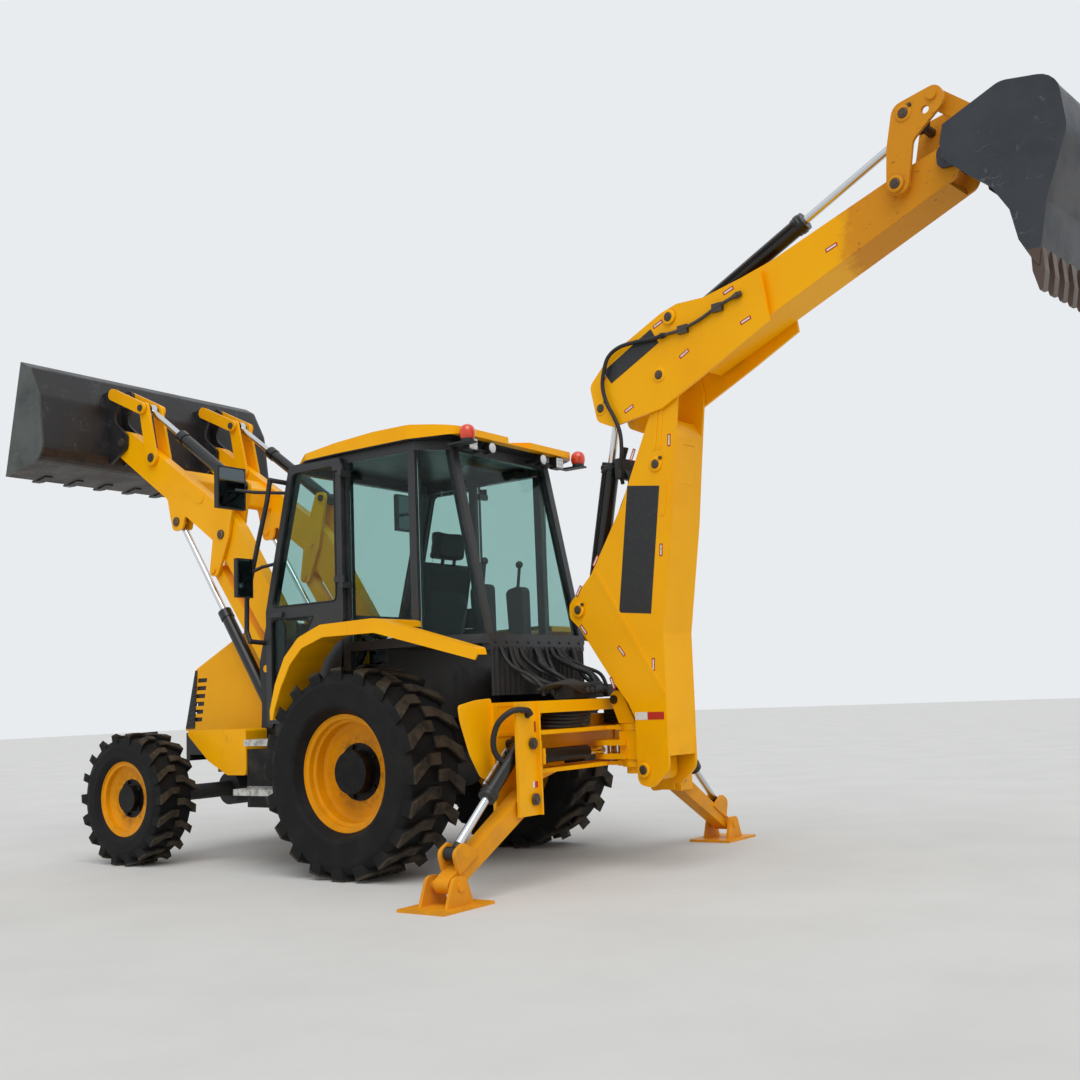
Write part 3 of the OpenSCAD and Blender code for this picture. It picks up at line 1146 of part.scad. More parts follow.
// Point on the leg: d along it from the pivot, n above its axis
function on_leg(d, n) = LEG_PIVOT + d * [cos(LEG_ANGLE), -sin(LEG_ANGLE)] + n * [sin(LEG_ANGLE),
    cos(LEG_ANGLE)];
module leg(side) {
    color(YELLOW) machine() scale_side(side) {
        difference() {
            across(LEG_X - 50, 100) shape(bar(LEG_PIVOT, PAD_PIN, 60, 42));
            rod_x(PAD_PIN, LEG_X - 200, 400, pin_r + pin_gap);
        }
        for (x0 = [LEG_X - 62, LEG_X + 40])
            across(x0, 22) shape([concat(on_leg(leg_len - 260, 20), 0), concat(on_leg(leg_len - 180,
                145), 40),
                concat(on_leg(leg_len - 85, 148), 44), concat(on_leg(leg_len - 60, 20), 0)]);
        rod_x(LEG_PIVOT, FRAME_REAR_X - 8, LEG_X - FRAME_REAR_X + 120, pin_r);
    }
}
module leg_left() { leg(1); }
module leg_right() { leg(-1); }
module pad(side) {
    color(YELLOW) machine() scale_side(side) {
        translate([LEG_X - 160, PAD_PIN[0] - pad_l, 0]) cube([320, 2 * pad_l, 16]);
        for (x0 = [LEG_X - 100, LEG_X + 80])
            difference() {
                across(x0, 20) shape([[PAD_PIN[0] - 110, 15, 0], [PAD_PIN[0] + 110, 15, 0],
                    [PAD_PIN[0] + 50, PAD_PIN[1] + 50, 45], [PAD_PIN[0] - 50, PAD_PIN[1] + 50, 45]]);
            }
        rod_x(PAD_PIN, LEG_X - 110, 220, pin_r);
    }
}
module pad_left() { pad(1); }
module pad_right() { pad(-1); }
module leg_ram_bar(from, to, r) {
    d = LEG_EYE - LEG_RAM_TOP;
    a = atan2(d[0], d[1]);
    translate([LEG_X, LEG_RAM_TOP[0], LEG_RAM_TOP[1]]) rotate([-a, 0, 0]) translate([0, 0, from])
        cylinder(r = r, h = to - from);
}
module leg_barrel(side) {
    color(BLACK) machine() scale_side(side) difference() {
        union() {
            leg_ram_bar(30, 430, 44);
            leg_ram_bar(395, 430, 52);
            rod_x(LEG_RAM_TOP, LEG_X - 40, 80, 46);
            rod_x(LEG_RAM_TOP, FRAME_REAR_X - 8, LEG_X - FRAME_REAR_X + 120, pin_r);
        }
        leg_ram_bar(52, 431, rod_r + 1);
    }
}
module leg_barrel_left() { leg_barrel(1); }
module leg_barrel_right() { leg_barrel(-1); }
module leg_rod(side) {
    color(CHROME) machine() scale_side(side) {
        leg_ram_bar(405, norm(LEG_EYE - LEG_RAM_TOP) - 20, rod_r);
        rod_x(LEG_EYE, LEG_X - 35, 70, 38);
    }
}
module leg_rod_left() { leg_rod(1); }
module leg_rod_right() { leg_rod(-1); }

chassis();
driveline();
side_boxes();
rear_frame();
cab_shell();
cab_roof();
cab_glass();
fenders();
operator_station();
seat_cushion();
cab_fittings();
door_left();
door_right();
bonnet();
rear_rim_left();
rear_rim_right();
rear_tyre_left();
rear_tyre_right();
front_rim_left();
front_rim_right();
front_tyre_left();
front_tyre_right();
knuckle_left();
knuckle_right();
loader_arms();
cranks();
level_links();
lever_pins();
levers();
link_pins();
bucket_links();
bucket_pins();
loader_bucket();
lift_barrels();
lift_rods();
crank_pins();
tilt_barrels();
tilt_rods();
kingpost();
boom();
dipper();
tipping_lever();
tipping_link();
hoe_bucket();
boom_barrel();
boom_rod();
dipper_barrel();
dipper_rod();
crowd_barrel();
crowd_rod();
swing_rod_left();
swing_rod_right();
leg_left();
leg_right();
pad_left();
pad_right();
leg_barrel_left();
leg_barrel_right();
leg_rod_left();
leg_rod_right();
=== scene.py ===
# %% [markdown]
# # A backhoe loader, dressed in Blender
# The steel of this machine (frame, arms, buckets, wheels, cab) comes ready from the CAD model. This
# notebook gives each part its real finish and adds what a maker bolts on last: hoses, pins, lenses, glass,
# seat. Loading the frame first fixes every place: one row frame in metres, X forward, Y left, Z up.

# %% Load the frame
import math
import bpy
import bmesh
import numpy as np
from mathutils import Matrix, Vector


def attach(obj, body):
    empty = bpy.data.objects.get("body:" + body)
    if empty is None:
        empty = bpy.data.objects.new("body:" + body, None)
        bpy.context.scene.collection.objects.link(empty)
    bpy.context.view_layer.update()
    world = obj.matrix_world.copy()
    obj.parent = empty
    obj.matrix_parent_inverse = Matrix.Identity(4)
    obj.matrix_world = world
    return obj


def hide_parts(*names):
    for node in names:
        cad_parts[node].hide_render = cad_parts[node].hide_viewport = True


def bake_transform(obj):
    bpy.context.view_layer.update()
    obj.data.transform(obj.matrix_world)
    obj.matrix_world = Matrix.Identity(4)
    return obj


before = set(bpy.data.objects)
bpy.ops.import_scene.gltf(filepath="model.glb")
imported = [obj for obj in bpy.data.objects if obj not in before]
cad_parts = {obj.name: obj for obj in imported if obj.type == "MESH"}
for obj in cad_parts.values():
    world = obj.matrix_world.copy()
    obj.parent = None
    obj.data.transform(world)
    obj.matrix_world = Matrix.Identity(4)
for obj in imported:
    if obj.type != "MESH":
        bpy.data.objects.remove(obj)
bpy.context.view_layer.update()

# %% [markdown]
# The CAD file writes its numbers in millimetres from the ground under the rear axle. The row frame is
# shifted along X. Two small functions carry numbers over, one for the machine and one for the digging arm,
# which stands slewed 7 degrees to the left: u runs back along the arm, w to its right side, v up. The arm's
# pivots are named here once, because pins, collars, rams and painted eyes all sit on them.

# %% From the maker's millimetres to metres
SHIFT = 427.824
SLEW = np.array([-1520.0, 0.0, 0.0])
SLEWED = math.radians(7)
ARM_U = np.array([-math.cos(SLEWED), math.sin(SLEWED), 0.0])
ARM_W = np.array([-math.sin(SLEWED), -math.cos(SLEWED), 0.0])
UP = np.array([0.0, 0.0, 1.0])
SIDES = ((1, "left"), (-1, "right"))

# pivots of the digging arm (u, v), then of the stabilisers (y, z) in their own plane
BOOM_FOOT, ELBOW = (165, 617), (445, 3000)
BOOM_RAM_FOOT, BOOM_RAM_EYE = (-100, 1045), (367, 2460)
DIPPER_RAM_FOOT, DIPPER_RAM_EYE = (-300, 1618), (-25, 2880)
CROWD_RAM_FOOT, CROWD_RAM_EYE = (546, 3339), (2142, 4061)
LEVER_FOOT, LEVER_TOP = (2072, 3690), (2305, 4105)
BUCKET_PIN, LINK_PIN = (2346, 3767), (2602, 3842)
LEG_X, LEG_PIN, LEG_RAM_TOP, LEG_RAM_EYE = -1255, (860, 500), (865, 815), (1497.8, 269.6)


def mach(points):
    """Machine millimetres (x, y, z) to row metres: add the shift to x, divide by 1000."""
    return (np.atleast_2d(np.asarray(points, float)) + [SHIFT, 0, 0]) / 1000


def arm(points):
    """Arm millimetres (u, w, v) to row metres: slew axis + u * ARM_U + w * ARM_W + v * UP."""
    p = np.atleast_2d(np.asarray(points, float))
    return mach(SLEW + p[:, :1] * ARM_U + p[:, 1:2] * ARM_W + p[:, 2:] * UP)


def pivot(place, w=0):
    """A pivot (u, v) of the digging arm, at the distance w to its right, in row metres."""
    return arm([place[0], w, place[1]])


# %% [markdown]
# ## Camera
# The photograph was taken from behind the left rear corner, 1.07 m above the ground. The camera's place and
# turn were solved from wheel rims, posts and plates; its angle of view is a 41 mm lens on a 36 mm sensor.
# No shift and no depth of field, so other views can reuse it.

# %% The camera
YAW, PITCH, ROLL = -0.9512, 0.1278, -0.0406
CAMERA_AT = (-5.5812 + SHIFT / 1000, 6.6466, 1.0696)
LENS_MM, SENSOR_MM = 41.07, 36
look = np.array([math.cos(YAW) * math.cos(PITCH), math.sin(YAW) * math.cos(PITCH), math.sin(PITCH)])
right = np.cross(look, UP)
right /= np.linalg.norm(right)
over = np.cross(right, look)
level = np.array([right, over])
right, over = np.array([(math.cos(ROLL), math.sin(ROLL)), (-math.sin(ROLL), math.cos(ROLL))]) @ level
camera = bpy.data.objects.new("camera", bpy.data.cameras.new("camera"))
bpy.context.scene.collection.objects.link(camera)
turn = np.eye(4)
turn[:3, 0], turn[:3, 1], turn[:3, 2] = right, over, -look
turn[:3, 3] = CAMERA_AT
camera.matrix_world = Matrix(turn.tolist())
camera.data.lens = LENS_MM
camera.data.sensor_width = SENSOR_MM
camera.data.clip_end = 500
bpy.context.scene.camera = camera
bpy.context.scene.view_settings.view_transform = "Standard"
print("camera at", [round(float(c), 3) for c in camera.location])

# %% [markdown]
# ## Finishes
# A finish is a node tree on one Principled shader. Two helpers are enough: one turns a written sRGB hex
# colour into linear light, and one adds a node with its settings and its links. Patterns are worked out
# from real sizes in millimetres on Object coordinates, so they stay on a part when it moves.

# %% Colour and node helpers
def ink(code):
    """sRGB hex to linear RGBA: c / 12.92 below 0.04045, else ((c + 0.055) / 1.055) to the power 2.4."""
    c = np.array([int(code[i:i + 2], 16) / 255 for i in (1, 3, 5)])
    return tuple(np.where(c <= 0.04045, c / 12.92, ((c + 0.055) / 1.055) ** 2.4)) + (1.0,)


def add(mat, kind, settings=None, **inputs):
    """Adds one node. Inputs are sockets by name (_ for a space) or number (_0), each a value or an output."""
    n = mat.node_tree.nodes.new("ShaderNode" + kind)
    for key, value in (settings or {}).items():
        setattr(n, key, value)
    for key, value in inputs.items():
        socket = n.inputs[int(key[1:])] if key[1:].isdigit() else n.inputs[key.replace("_", " ")]
        if isinstance(value, bpy.types.NodeSocket):
            mat.node_tree.links.new(value, socket)
        else:
            socket.default_value = value
    return n


def finish(name, **sockets):
    """A material with one Principled shader: returns (material, shader, Object coordinates)."""
    mat = bpy.data.materials.new(name)
    mat.use_nodes = True
    mat.node_tree.nodes.clear()
    shader = add(mat, "BsdfPrincipled", None, **sockets)
    add(mat, "OutputMaterial", None, Surface=shader.outputs[0])
    return mat, shader, add(mat, "TexCoord").outputs["Object"]


def link(mat, output, shader, socket):
    """Wires an output to one of the shader's sockets, by its name."""
    mat.node_tree.links.new(output, shader.inputs[socket])


# %% [markdown]
# Three patterns serve every finish: blotches (smooth noise cut between two levels, for dust, fading and
# rust), a stretched version of them for scratches and wiping marks, and a blend of two colours by a mask.
# Round borders come from the distance to a point, or to an axle's line.

# %% Patterns
def blotches(mat, where, size_mm, low, high, detail=4.0, stretch=None):
    """Noise with features of size_mm, then a smooth step from low to high. stretch scales the coordinates."""
    if stretch:
        where = add(mat, "Mapping", None, Vector=where, Scale=stretch).outputs[0]
    n = add(mat, "TexNoise", None, Vector=where, Scale=1000 / size_mm, Detail=detail, Roughness=0.6)
    return add(mat, "MapRange", {"interpolation_type": "SMOOTHSTEP"}, Value=n.outputs[0], From_Min=low,
               From_Max=high).outputs[0]


def step(mat, value, low, high):
    """Smooth step of a value from low (0) to high (1)."""
    return add(mat, "MapRange", {"interpolation_type": "SMOOTHSTEP"}, Value=value, From_Min=low,
               From_Max=high).outputs[0]


def maths(mat, how, a, b=0.0):
    """One sum, product or other operation of two numbers."""
    return add(mat, "Math", {"operation": how}, _0=a, _1=b).outputs[0]


def blend(mat, mask, under, top):
    """under where the mask is 0, top where it is 1; each is a hex colour or an output."""
    a = ink(under) if isinstance(under, str) else under
    b = ink(top) if isinstance(top, str) else top
    return add(mat, "Mix", {"data_type": "RGBA"}, _0=mask, _6=a, _7=b).outputs[2]


def axes(mat, where):
    """The three numbers of a position."""
    return add(mat, "SeparateXYZ", None, _0=where).outputs


def band(mat, value, low, high, soft=0.002):
    """1 between low and high, 0 outside, with soft edges."""
    return maths(mat, "MULTIPLY", step(mat, value, low - soft, low + soft),
                 step(mat, value, high + soft, high - soft))


def from_axle(mat, where, x, z):
    """Distance from the axle's line through (x, z): the length of (X - x, 0, Z - z)."""
    flat = add(mat, "VectorMath", {"operation": "MULTIPLY"}, _0=where, _1=(1.0, 0.0, 1.0)).outputs[0]
    return add(mat, "VectorMath", {"operation": "DISTANCE"}, _0=flat, _1=(x, 0.0, z)).outputs["Value"]


# %% [markdown]
# ### Yellow machine enamel
# Two-pack polyurethane enamel, sprayed over primer. It is glossy when new; in use it fades towards orange,
# gathers road dust low down and gets fine rubbed scratches. The faint orange peel of a spray gun is 2-3 mm.

# %% Yellow enamel
def enamel(name, fresh="#FFB600", faded="#F5A300", dusty="#C08A2A", wear=0.2, rough=0.34):
    """Fresh colour, slow fading in 600 mm clouds, dust from the ground up, fine rubbed marks."""
    mat, shader, where = finish(name, Roughness=rough, Coat_Weight=0.04, Coat_Roughness=0.2, IOR=1.5,
                               Specular_IOR_Level=0.16)
    clouds = blotches(mat, where, 600, 0.35, 0.75)
    paint = blend(mat, maths(mat, "MULTIPLY", clouds, 0.55), fresh, faded)
    height = axes(mat, where)[2]
    low = maths(mat, "MULTIPLY", step(mat, height, 1.3, 0.1), blotches(mat, where, 140, 0.35, 0.7, 8.0))
    paint = blend(mat, maths(mat, "MULTIPLY", low, 0.35), paint, dusty)
    rubbed = blotches(mat, where, 26, 0.60, 0.72, 6.0, (1.0, 1.0, 0.25))
    patches = blotches(mat, where, 320, 0.48, 0.68)
    marks = maths(mat, "MULTIPLY", maths(mat, "MULTIPLY", rubbed, patches), wear)
    paint = blend(mat, marks, paint, "#9C6A1C")
    link(mat, paint, shader, "Base Color")
    link(mat, maths(mat, "ADD", maths(mat, "MULTIPLY", clouds, 0.14), rough - 0.06), shader, "Roughness")
    peel = add(mat, "TexNoise", None, Vector=where, Scale=400.0, Detail=1.0)
    bump = add(mat, "Bump", None, Height=peel.outputs[0], Strength=0.06, Distance=0.0006)
    link(mat, bump.outputs[0], shader, "Normal")
    return mat, shader, where, paint


YELLOW = enamel("yellow_enamel")[0]
LEG_YELLOW = enamel("yellow_enamel_of_the_stabilisers", "#EFA012", "#D88A10", "#A77A3B", 0.6, 0.46)[0]

# %% [markdown]
# The dipper's far half has rubbed in trenches: its enamel is dull and more orange there, with brown scars.
# The mask follows the place along X, roughened by noise so that the border is not a line.

# %% Dipper enamel
DULL_START_X, DULL_FULL_X = -2.66, -2.78
DIPPER_YELLOW, shader, where, paint = enamel("yellow_enamel_of_the_dipper", wear=0.3)
reach = maths(DIPPER_YELLOW, "ADD", axes(DIPPER_YELLOW, where)[0],
              maths(DIPPER_YELLOW, "MULTIPLY", blotches(DIPPER_YELLOW, where, 90, 0.2, 0.8), 0.10))
dull = step(DIPPER_YELLOW, reach, DULL_START_X, DULL_FULL_X)
scars = blotches(DIPPER_YELLOW, where, 40, 0.62, 0.7, 8.0, (1.0, 1.0, 2.0))
paint = blend(DIPPER_YELLOW, maths(DIPPER_YELLOW, "MULTIPLY", dull, 0.85), paint, "#D4891E")
scarred = maths(DIPPER_YELLOW, "MULTIPLY", maths(DIPPER_YELLOW, "MULTIPLY", dull, scars), 0.7)
paint = blend(DIPPER_YELLOW, scarred, paint, "#5E4428")
link(DIPPER_YELLOW, paint, shader, "Base Color")
worn_rough = maths(DIPPER_YELLOW, "ADD", maths(DIPPER_YELLOW, "MULTIPLY", dull, 0.22), 0.34)
link(DIPPER_YELLOW, worn_rough, shader, "Roughness")

# %% [markdown]
# ### Black paint, powder coat and plastic
# The cab's posts and doors are charcoal powder coat, finely textured and satin. Ram barrels and frame are
# black gloss paint with dust. Mirrors and lamp cases are moulded plastic with a fine grain (drawn at 1 mm).

# %% Black finishes
def black(name, colour, dust, rough, grain_mm, grain, dust_amount=0.35, coat=0.0):
    """One dark colour, dust in 120 mm clouds, and a fine raised grain of grain_mm."""
    mat, shader, where = finish(name, Roughness=rough, Coat_Weight=coat, Coat_Roughness=0.25)
    cloud = blotches(mat, where, 120, 0.42, 0.8, 6.0)
    link(mat, blend(mat, maths(mat, "MULTIPLY", cloud, dust_amount), colour, dust), shader, "Base Color")
    link(mat, maths(mat, "ADD", maths(mat, "MULTIPLY", cloud, 0.15), rough), shader, "Roughness")
    grains = add(mat, "TexNoise", None, Vector=where, Scale=1000 / grain_mm, Detail=2.0)
    bump = add(mat, "Bump", None, Height=grains.outputs[0], Strength=grain, Distance=0.0008)
    link(mat, bump.outputs[0], shader, "Normal")
    return mat


CHARCOAL = black("charcoal_powder_coat", "#26282B", "#4A4843", 0.42, 2.0, 0.12)
FRAME_BLACK = black("black_frame_paint", "#17181A", "#4B443A", 0.5, 6.0, 0.1, 0.5)
RAM_BLACK = black("black_ram_paint", "#08090A", "#2A2620", 0.3, 8.0, 0.05, 0.2, 0.1)
PLASTIC = black("black_moulded_plastic", "#18191B", "#3C3A36", 0.5, 1.0, 0.25, 0.3)
HOSE = black("black_rubber_hose", "#131314", "#4A443A", 0.55, 3.0, 0.3, 0.3)
CASTING = black("painted_casting", "#2E3032", "#5A5044", 0.6, 4.0, 0.35, 0.6)
PIN_STEEL = black("oiled_pin_steel", "#3A342E", "#6B5138", 0.42, 3.0, 0.2, 0.6)

# %% [markdown]
# ### Hard chrome and bright steel
# Piston rods are ground, hard-chromed and polished: a metal with very low roughness. A thin film of oil and
# dust dulls patches of it. Zinc plating is rougher and greyer, and a mirror's silver is as smooth as its
# glass.

# %% Metals
CHROME, shader, where = finish("hard_chrome", Base_Color=ink("#D5D8DB"), Metallic=1.0, Roughness=0.14)
film = blotches(CHROME, where, 60, 0.45, 0.75)
link(CHROME, maths(CHROME, "ADD", maths(CHROME, "MULTIPLY", film, 0.14), 0.12), shader, "Roughness")
ZINC, shader, where = finish("zinc_plated_steel", Base_Color=ink("#B9BBB8"), Metallic=0.9, Roughness=0.4)
link(ZINC, blend(ZINC, blotches(ZINC, where, 30, 0.4, 0.7), "#B9BBB8", "#8C8A84"), shader, "Base Color")
MIRROR = finish("silvered_mirror_glass", Base_Color=ink("#5E676B"), Metallic=1.0, Roughness=0.06)[0]

# %% [markdown]
# ### Bucket steel
# Abrasion-resistant plate painted once, black in front and slate grey behind, then scoured. Paint survives
# on the outside, faces that look down carry brown rust, and long fine scratches run where material slid by.
# The digging bucket's teeth are bare brown steel, which begins at the height of their roots.

# %% Bucket finishes
def bucket_steel(name, paint, worn, rust, rust_level=0.5):
    """Paint, worn clouds, thin long scratches as a narrow band of noise, rust where the face looks down."""
    mat, shader, where = finish(name, Roughness=0.5, Specular_IOR_Level=0.4)
    cloud = blotches(mat, where, 260, 0.38, 0.72, 6.0)
    tone = blend(mat, maths(mat, "MULTIPLY", cloud, 0.6), paint, worn)
    drawn = add(mat, "Mapping", None, Vector=where, Rotation=(0.3, 0.5, 0.2), Scale=(3.0, 60.0, 9.0))
    long_marks = add(mat, "TexNoise", None, Vector=drawn.outputs[0], Scale=1.0, Detail=5.0).outputs[0]
    thin = step(mat, maths(mat, "ABSOLUTE", maths(mat, "SUBTRACT", long_marks, 0.5)), 0.012, 0.004)
    scratch = maths(mat, "MULTIPLY", thin, blotches(mat, where, 180, 0.5, 0.7))
    tone = blend(mat, maths(mat, "MULTIPLY", scratch, 0.45), tone, "#8E918F")
    down = step(mat, axes(mat, add(mat, "TexCoord").outputs["Normal"])[2], 0.15, -0.6)
    spots = blotches(mat, where, 70, 0.3, 0.65, 8.0)
    rusty = maths(mat, "MULTIPLY", maths(mat, "MAXIMUM", down, 0.15), spots)
    tone = blend(mat, maths(mat, "MULTIPLY", rusty, rust_level), tone, rust)
    link(mat, tone, shader, "Base Color")
    link(mat, maths(mat, "ADD", maths(mat, "MULTIPLY", cloud, 0.2), 0.38), shader, "Roughness")
    pits = add(mat, "TexNoise", None, Vector=where, Scale=90.0, Detail=6.0)
    bump = add(mat, "Bump", None, Height=pits.outputs[0], Strength=0.2, Distance=0.002)
    link(mat, bump.outputs[0], shader, "Normal")
    return mat, shader, where, tone


LOADER_END = 1.154
TOOTH_ROOTS = 3.106
BUCKET_BLACK, shader, where, tone = bucket_steel("scoured_black_bucket_steel", "#1B1C1F", "#2C2D2E",
                                                 "#4A3526")
ends = step(BUCKET_BLACK, maths(BUCKET_BLACK, "ABSOLUTE", axes(BUCKET_BLACK, where)[1]), LOADER_END - 0.004,
            LOADER_END + 0.004)
faded = maths(BUCKET_BLACK, "MULTIPLY", ends, blotches(BUCKET_BLACK, where, 300, 0.15, 0.6))
link(BUCKET_BLACK, blend(BUCKET_BLACK, faded, tone, "#454B48"), shader, "Base Color")
BUCKET_SLATE, shader, where, tone = bucket_steel("scoured_slate_bucket_steel", "#2A2F36", "#3B4148",
                                                 "#43352B", 0.6)
teeth = step(BUCKET_SLATE, axes(BUCKET_SLATE, where)[2], TOOTH_ROOTS + 0.006, TOOTH_ROOTS - 0.006)
link(BUCKET_SLATE, blend(BUCKET_SLATE, teeth, tone, "#54443A"), shader, "Base Color")

# %% [markdown]
# ### Tyre rubber
# Carbon-black rubber on an off-road tyre: nearly black on the side walls, grey-brown with dried soil on the
# tops of the lugs. The mask is the distance from the wheel's axle, so it turns with the wheel.

# %% Tyre finishes
def rubber(name, x, z, body, top):
    """Soil grows with the distance from the axle's line (x, z); rings every 28 mm are moulded in the side."""
    mat, shader, where = finish(name, Roughness=0.7, Specular_IOR_Level=0.22)
    out = from_axle(mat, where, x, z)
    lug = step(mat, out, body + 0.012, top - 0.004)
    soil = maths(mat, "MULTIPLY", lug, blotches(mat, where, 90, 0.25, 0.65, 8.0))
    haze = maths(mat, "MULTIPLY", blotches(mat, where, 160, 0.4, 0.75, 6.0), 0.35)
    tone = blend(mat, haze, "#111112", "#2C2925")
    tone = blend(mat, maths(mat, "MULTIPLY", soil, 0.8), tone, "#4F4538")
    link(mat, tone, shader, "Base Color")
    ring = maths(mat, "SINE", maths(mat, "MULTIPLY", out, 2 * math.pi / 0.028))
    ring = maths(mat, "MULTIPLY", ring, step(mat, out, body - 0.06, body - 0.10))
    grit = add(mat, "TexNoise", None, Vector=where, Scale=160.0, Detail=4.0)
    height = maths(mat, "ADD", maths(mat, "MULTIPLY", ring, 0.6), grit.outputs[0])
    bump = add(mat, "Bump", None, Height=height, Strength=0.35, Distance=0.0015)
    link(mat, bump.outputs[0], shader, "Normal")
    return mat


REAR_AXLE, FRONT_AXLE = (SHIFT / 1000, 0.655), (2.175 + SHIFT / 1000, 0.470)
LUG_HEIGHT = 0.034
REAR_RUBBER = rubber("rear_tyre_rubber", *REAR_AXLE, REAR_AXLE[1] - LUG_HEIGHT, REAR_AXLE[1])
FRONT_RUBBER = rubber("front_tyre_rubber", *FRONT_AXLE, FRONT_AXLE[1] - LUG_HEIGHT, FRONT_AXLE[1])

# %% [markdown]
# The rims are the same yellow enamel, but their hubs are black castings with oily soil. Both are one CAD
# part, so the finish changes at the hub's radius, again measured from the axle.

# %% Rim finishes
def rim_paint(name, x, z, hub):
    """Yellow enamel outside the hub's radius, black casting inside it."""
    mat, shader, where, paint = enamel(name, "#E99A02", "#D98A00", "#9A6418", 0.5, 0.42)
    out = from_axle(mat, where, x, z)
    core = blend(mat, blotches(mat, where, 50, 0.4, 0.7), "#0B0B0C", "#1C1917")
    splash = maths(mat, "MULTIPLY", step(mat, out, hub + 0.09, hub), blotches(mat, where, 40, 0.4, 0.7))
    paint = blend(mat, maths(mat, "MULTIPLY", splash, 0.6), paint, "#7A4A12")
    link(mat, blend(mat, step(mat, out, hub + 0.002, hub - 0.002), paint, core), shader, "Base Color")
    return mat


REAR_HUB, FRONT_HUB = 0.182, 0.138
REAR_RIM = rim_paint("rear_rim_enamel", *REAR_AXLE, REAR_HUB)
FRONT_RIM = rim_paint("front_rim_enamel", *FRONT_AXLE, FRONT_HUB)

# %% [markdown]
# ### Parts in two colours
# Some CAD parts carry two finishes. The rear frame holds the black slew rams between its yellow plates; the
# side boxes are black, with a yellow skirt in front and pale galvanised treads; the roof is yellow above a
# black moulded lining. Bands of the Object coordinates choose between the colours.

# %% Two-colour parts
RAM_X, RAM_Z, RAM_Y = (-0.941, -0.843), (0.672, 0.798), (0.270, 0.759)
SKIRT_REAR_X = 1.6478
TREAD_Z = ((0.828, 0.875), (0.498, 0.545))
TREAD_INNER_Y = 0.750
LINING_TOP_Z = 2.770

REAR_FRAME, shader, where, paint = enamel("yellow_enamel_with_black_slew_rams", wear=0.5)
x, y, z = axes(REAR_FRAME, where)
slew_ram = maths(REAR_FRAME, "MULTIPLY", band(REAR_FRAME, x, *RAM_X), band(REAR_FRAME, z, *RAM_Z))
slew_ram = maths(REAR_FRAME, "MULTIPLY", slew_ram, band(REAR_FRAME, maths(REAR_FRAME, "ABSOLUTE", y), *RAM_Y))
link(REAR_FRAME, blend(REAR_FRAME, slew_ram, paint, "#101113"), shader, "Base Color")

SIDE_BOXES, shader, where, paint = enamel("enamel_skirt_and_black_boxes", wear=0.3)
x, y, z = axes(SIDE_BOXES, where)
box_black = blend(SIDE_BOXES, blotches(SIDE_BOXES, where, 120, 0.4, 0.8), "#141517", "#3A352E")
outside = step(SIDE_BOXES, maths(SIDE_BOXES, "ABSOLUTE", y), TREAD_INNER_Y - 0.002, TREAD_INNER_Y + 0.002)
level = maths(SIDE_BOXES, "ADD", band(SIDE_BOXES, z, *TREAD_Z[0]), band(SIDE_BOXES, z, *TREAD_Z[1]))
zinc = blend(SIDE_BOXES, blotches(SIDE_BOXES, where, 40, 0.4, 0.7), "#C9CAC6", "#8D8A82")
tone = blend(SIDE_BOXES, maths(SIDE_BOXES, "MULTIPLY", outside, level), box_black, zinc)
skirt = step(SIDE_BOXES, x, SKIRT_REAR_X - 0.0002, SKIRT_REAR_X + 0.0002)
link(SIDE_BOXES, blend(SIDE_BOXES, skirt, tone, paint), shader, "Base Color")

ROOF, shader, where, paint = enamel("roof_enamel_and_lining", wear=0.15)
lining = step(ROOF, axes(ROOF, where)[2], LINING_TOP_Z + 0.0005, LINING_TOP_Z - 0.0005)
link(ROOF, blend(ROOF, lining, paint, "#1B1C1E"), shader, "Base Color")

# %% [markdown]
# ### Glass, lenses, seat cloth and plain signal colours
# Cab glass is toughened and tinted green-blue; a thin closed pane with full transmission and a pale base
# colour lets the seat show through. Beacon domes are dyed polycarbonate. The seat is black woven polyester:
# the weave is drawn at 2.5 mm, coarser than real, because the real 1 mm thread can't show from eight metres
# away.

# %% Glass, lens and cloth finishes
GLASS = finish("tinted_toughened_glass", Base_Color=ink("#C4DCD8"), Roughness=0.0, IOR=1.2,
               Transmission_Weight=1.0)[0]
LENS, shader, where = finish("clear_lamp_lens", Base_Color=ink("#F1F4F4"), Roughness=0.08, Coat_Weight=0.6)
flutes = add(LENS, "TexWave", {"bands_direction": "Y"}, Vector=where, Scale=40.0)
link(LENS, blend(LENS, flutes.outputs[1], "#F4F6F6", "#AEB6BA"), shader, "Base Color")
BEACON, shader, where = finish("dyed_polycarbonate", Base_Color=ink("#E2401F"), Roughness=0.15,
                               Coat_Weight=0.7, Subsurface_Weight=0.15)
ribs = add(BEACON, "TexWave", {"bands_direction": "Z"}, Vector=where, Scale=60.0)
link(BEACON, blend(BEACON, ribs.outputs[1], "#F0481A", "#C8260F"), shader, "Base Color")
CLOTH, shader, where = finish("woven_polyester", Roughness=0.9, Sheen_Weight=0.35, Sheen_Roughness=0.5)
WEAVE = 127.324
warp = add(CLOTH, "TexWave", {"bands_direction": "Y"}, Vector=where, Scale=WEAVE)
weft = add(CLOTH, "TexWave", {"bands_direction": "DIAGONAL"}, Vector=where, Scale=WEAVE)
weave = maths(CLOTH, "MULTIPLY", warp.outputs[1], weft.outputs[1])
link(CLOTH, blend(CLOTH, weave, "#1B1C1E", "#3B3D40"), shader, "Base Color")
link(CLOTH, add(CLOTH, "Bump", None, Height=weave, Strength=0.4, Distance=0.001).outputs[0], shader, "Normal")
STATION, shader, where = finish("seat_shell_and_controls", Roughness=0.6)
grime = blotches(STATION, where, 80, 0.4, 0.8)
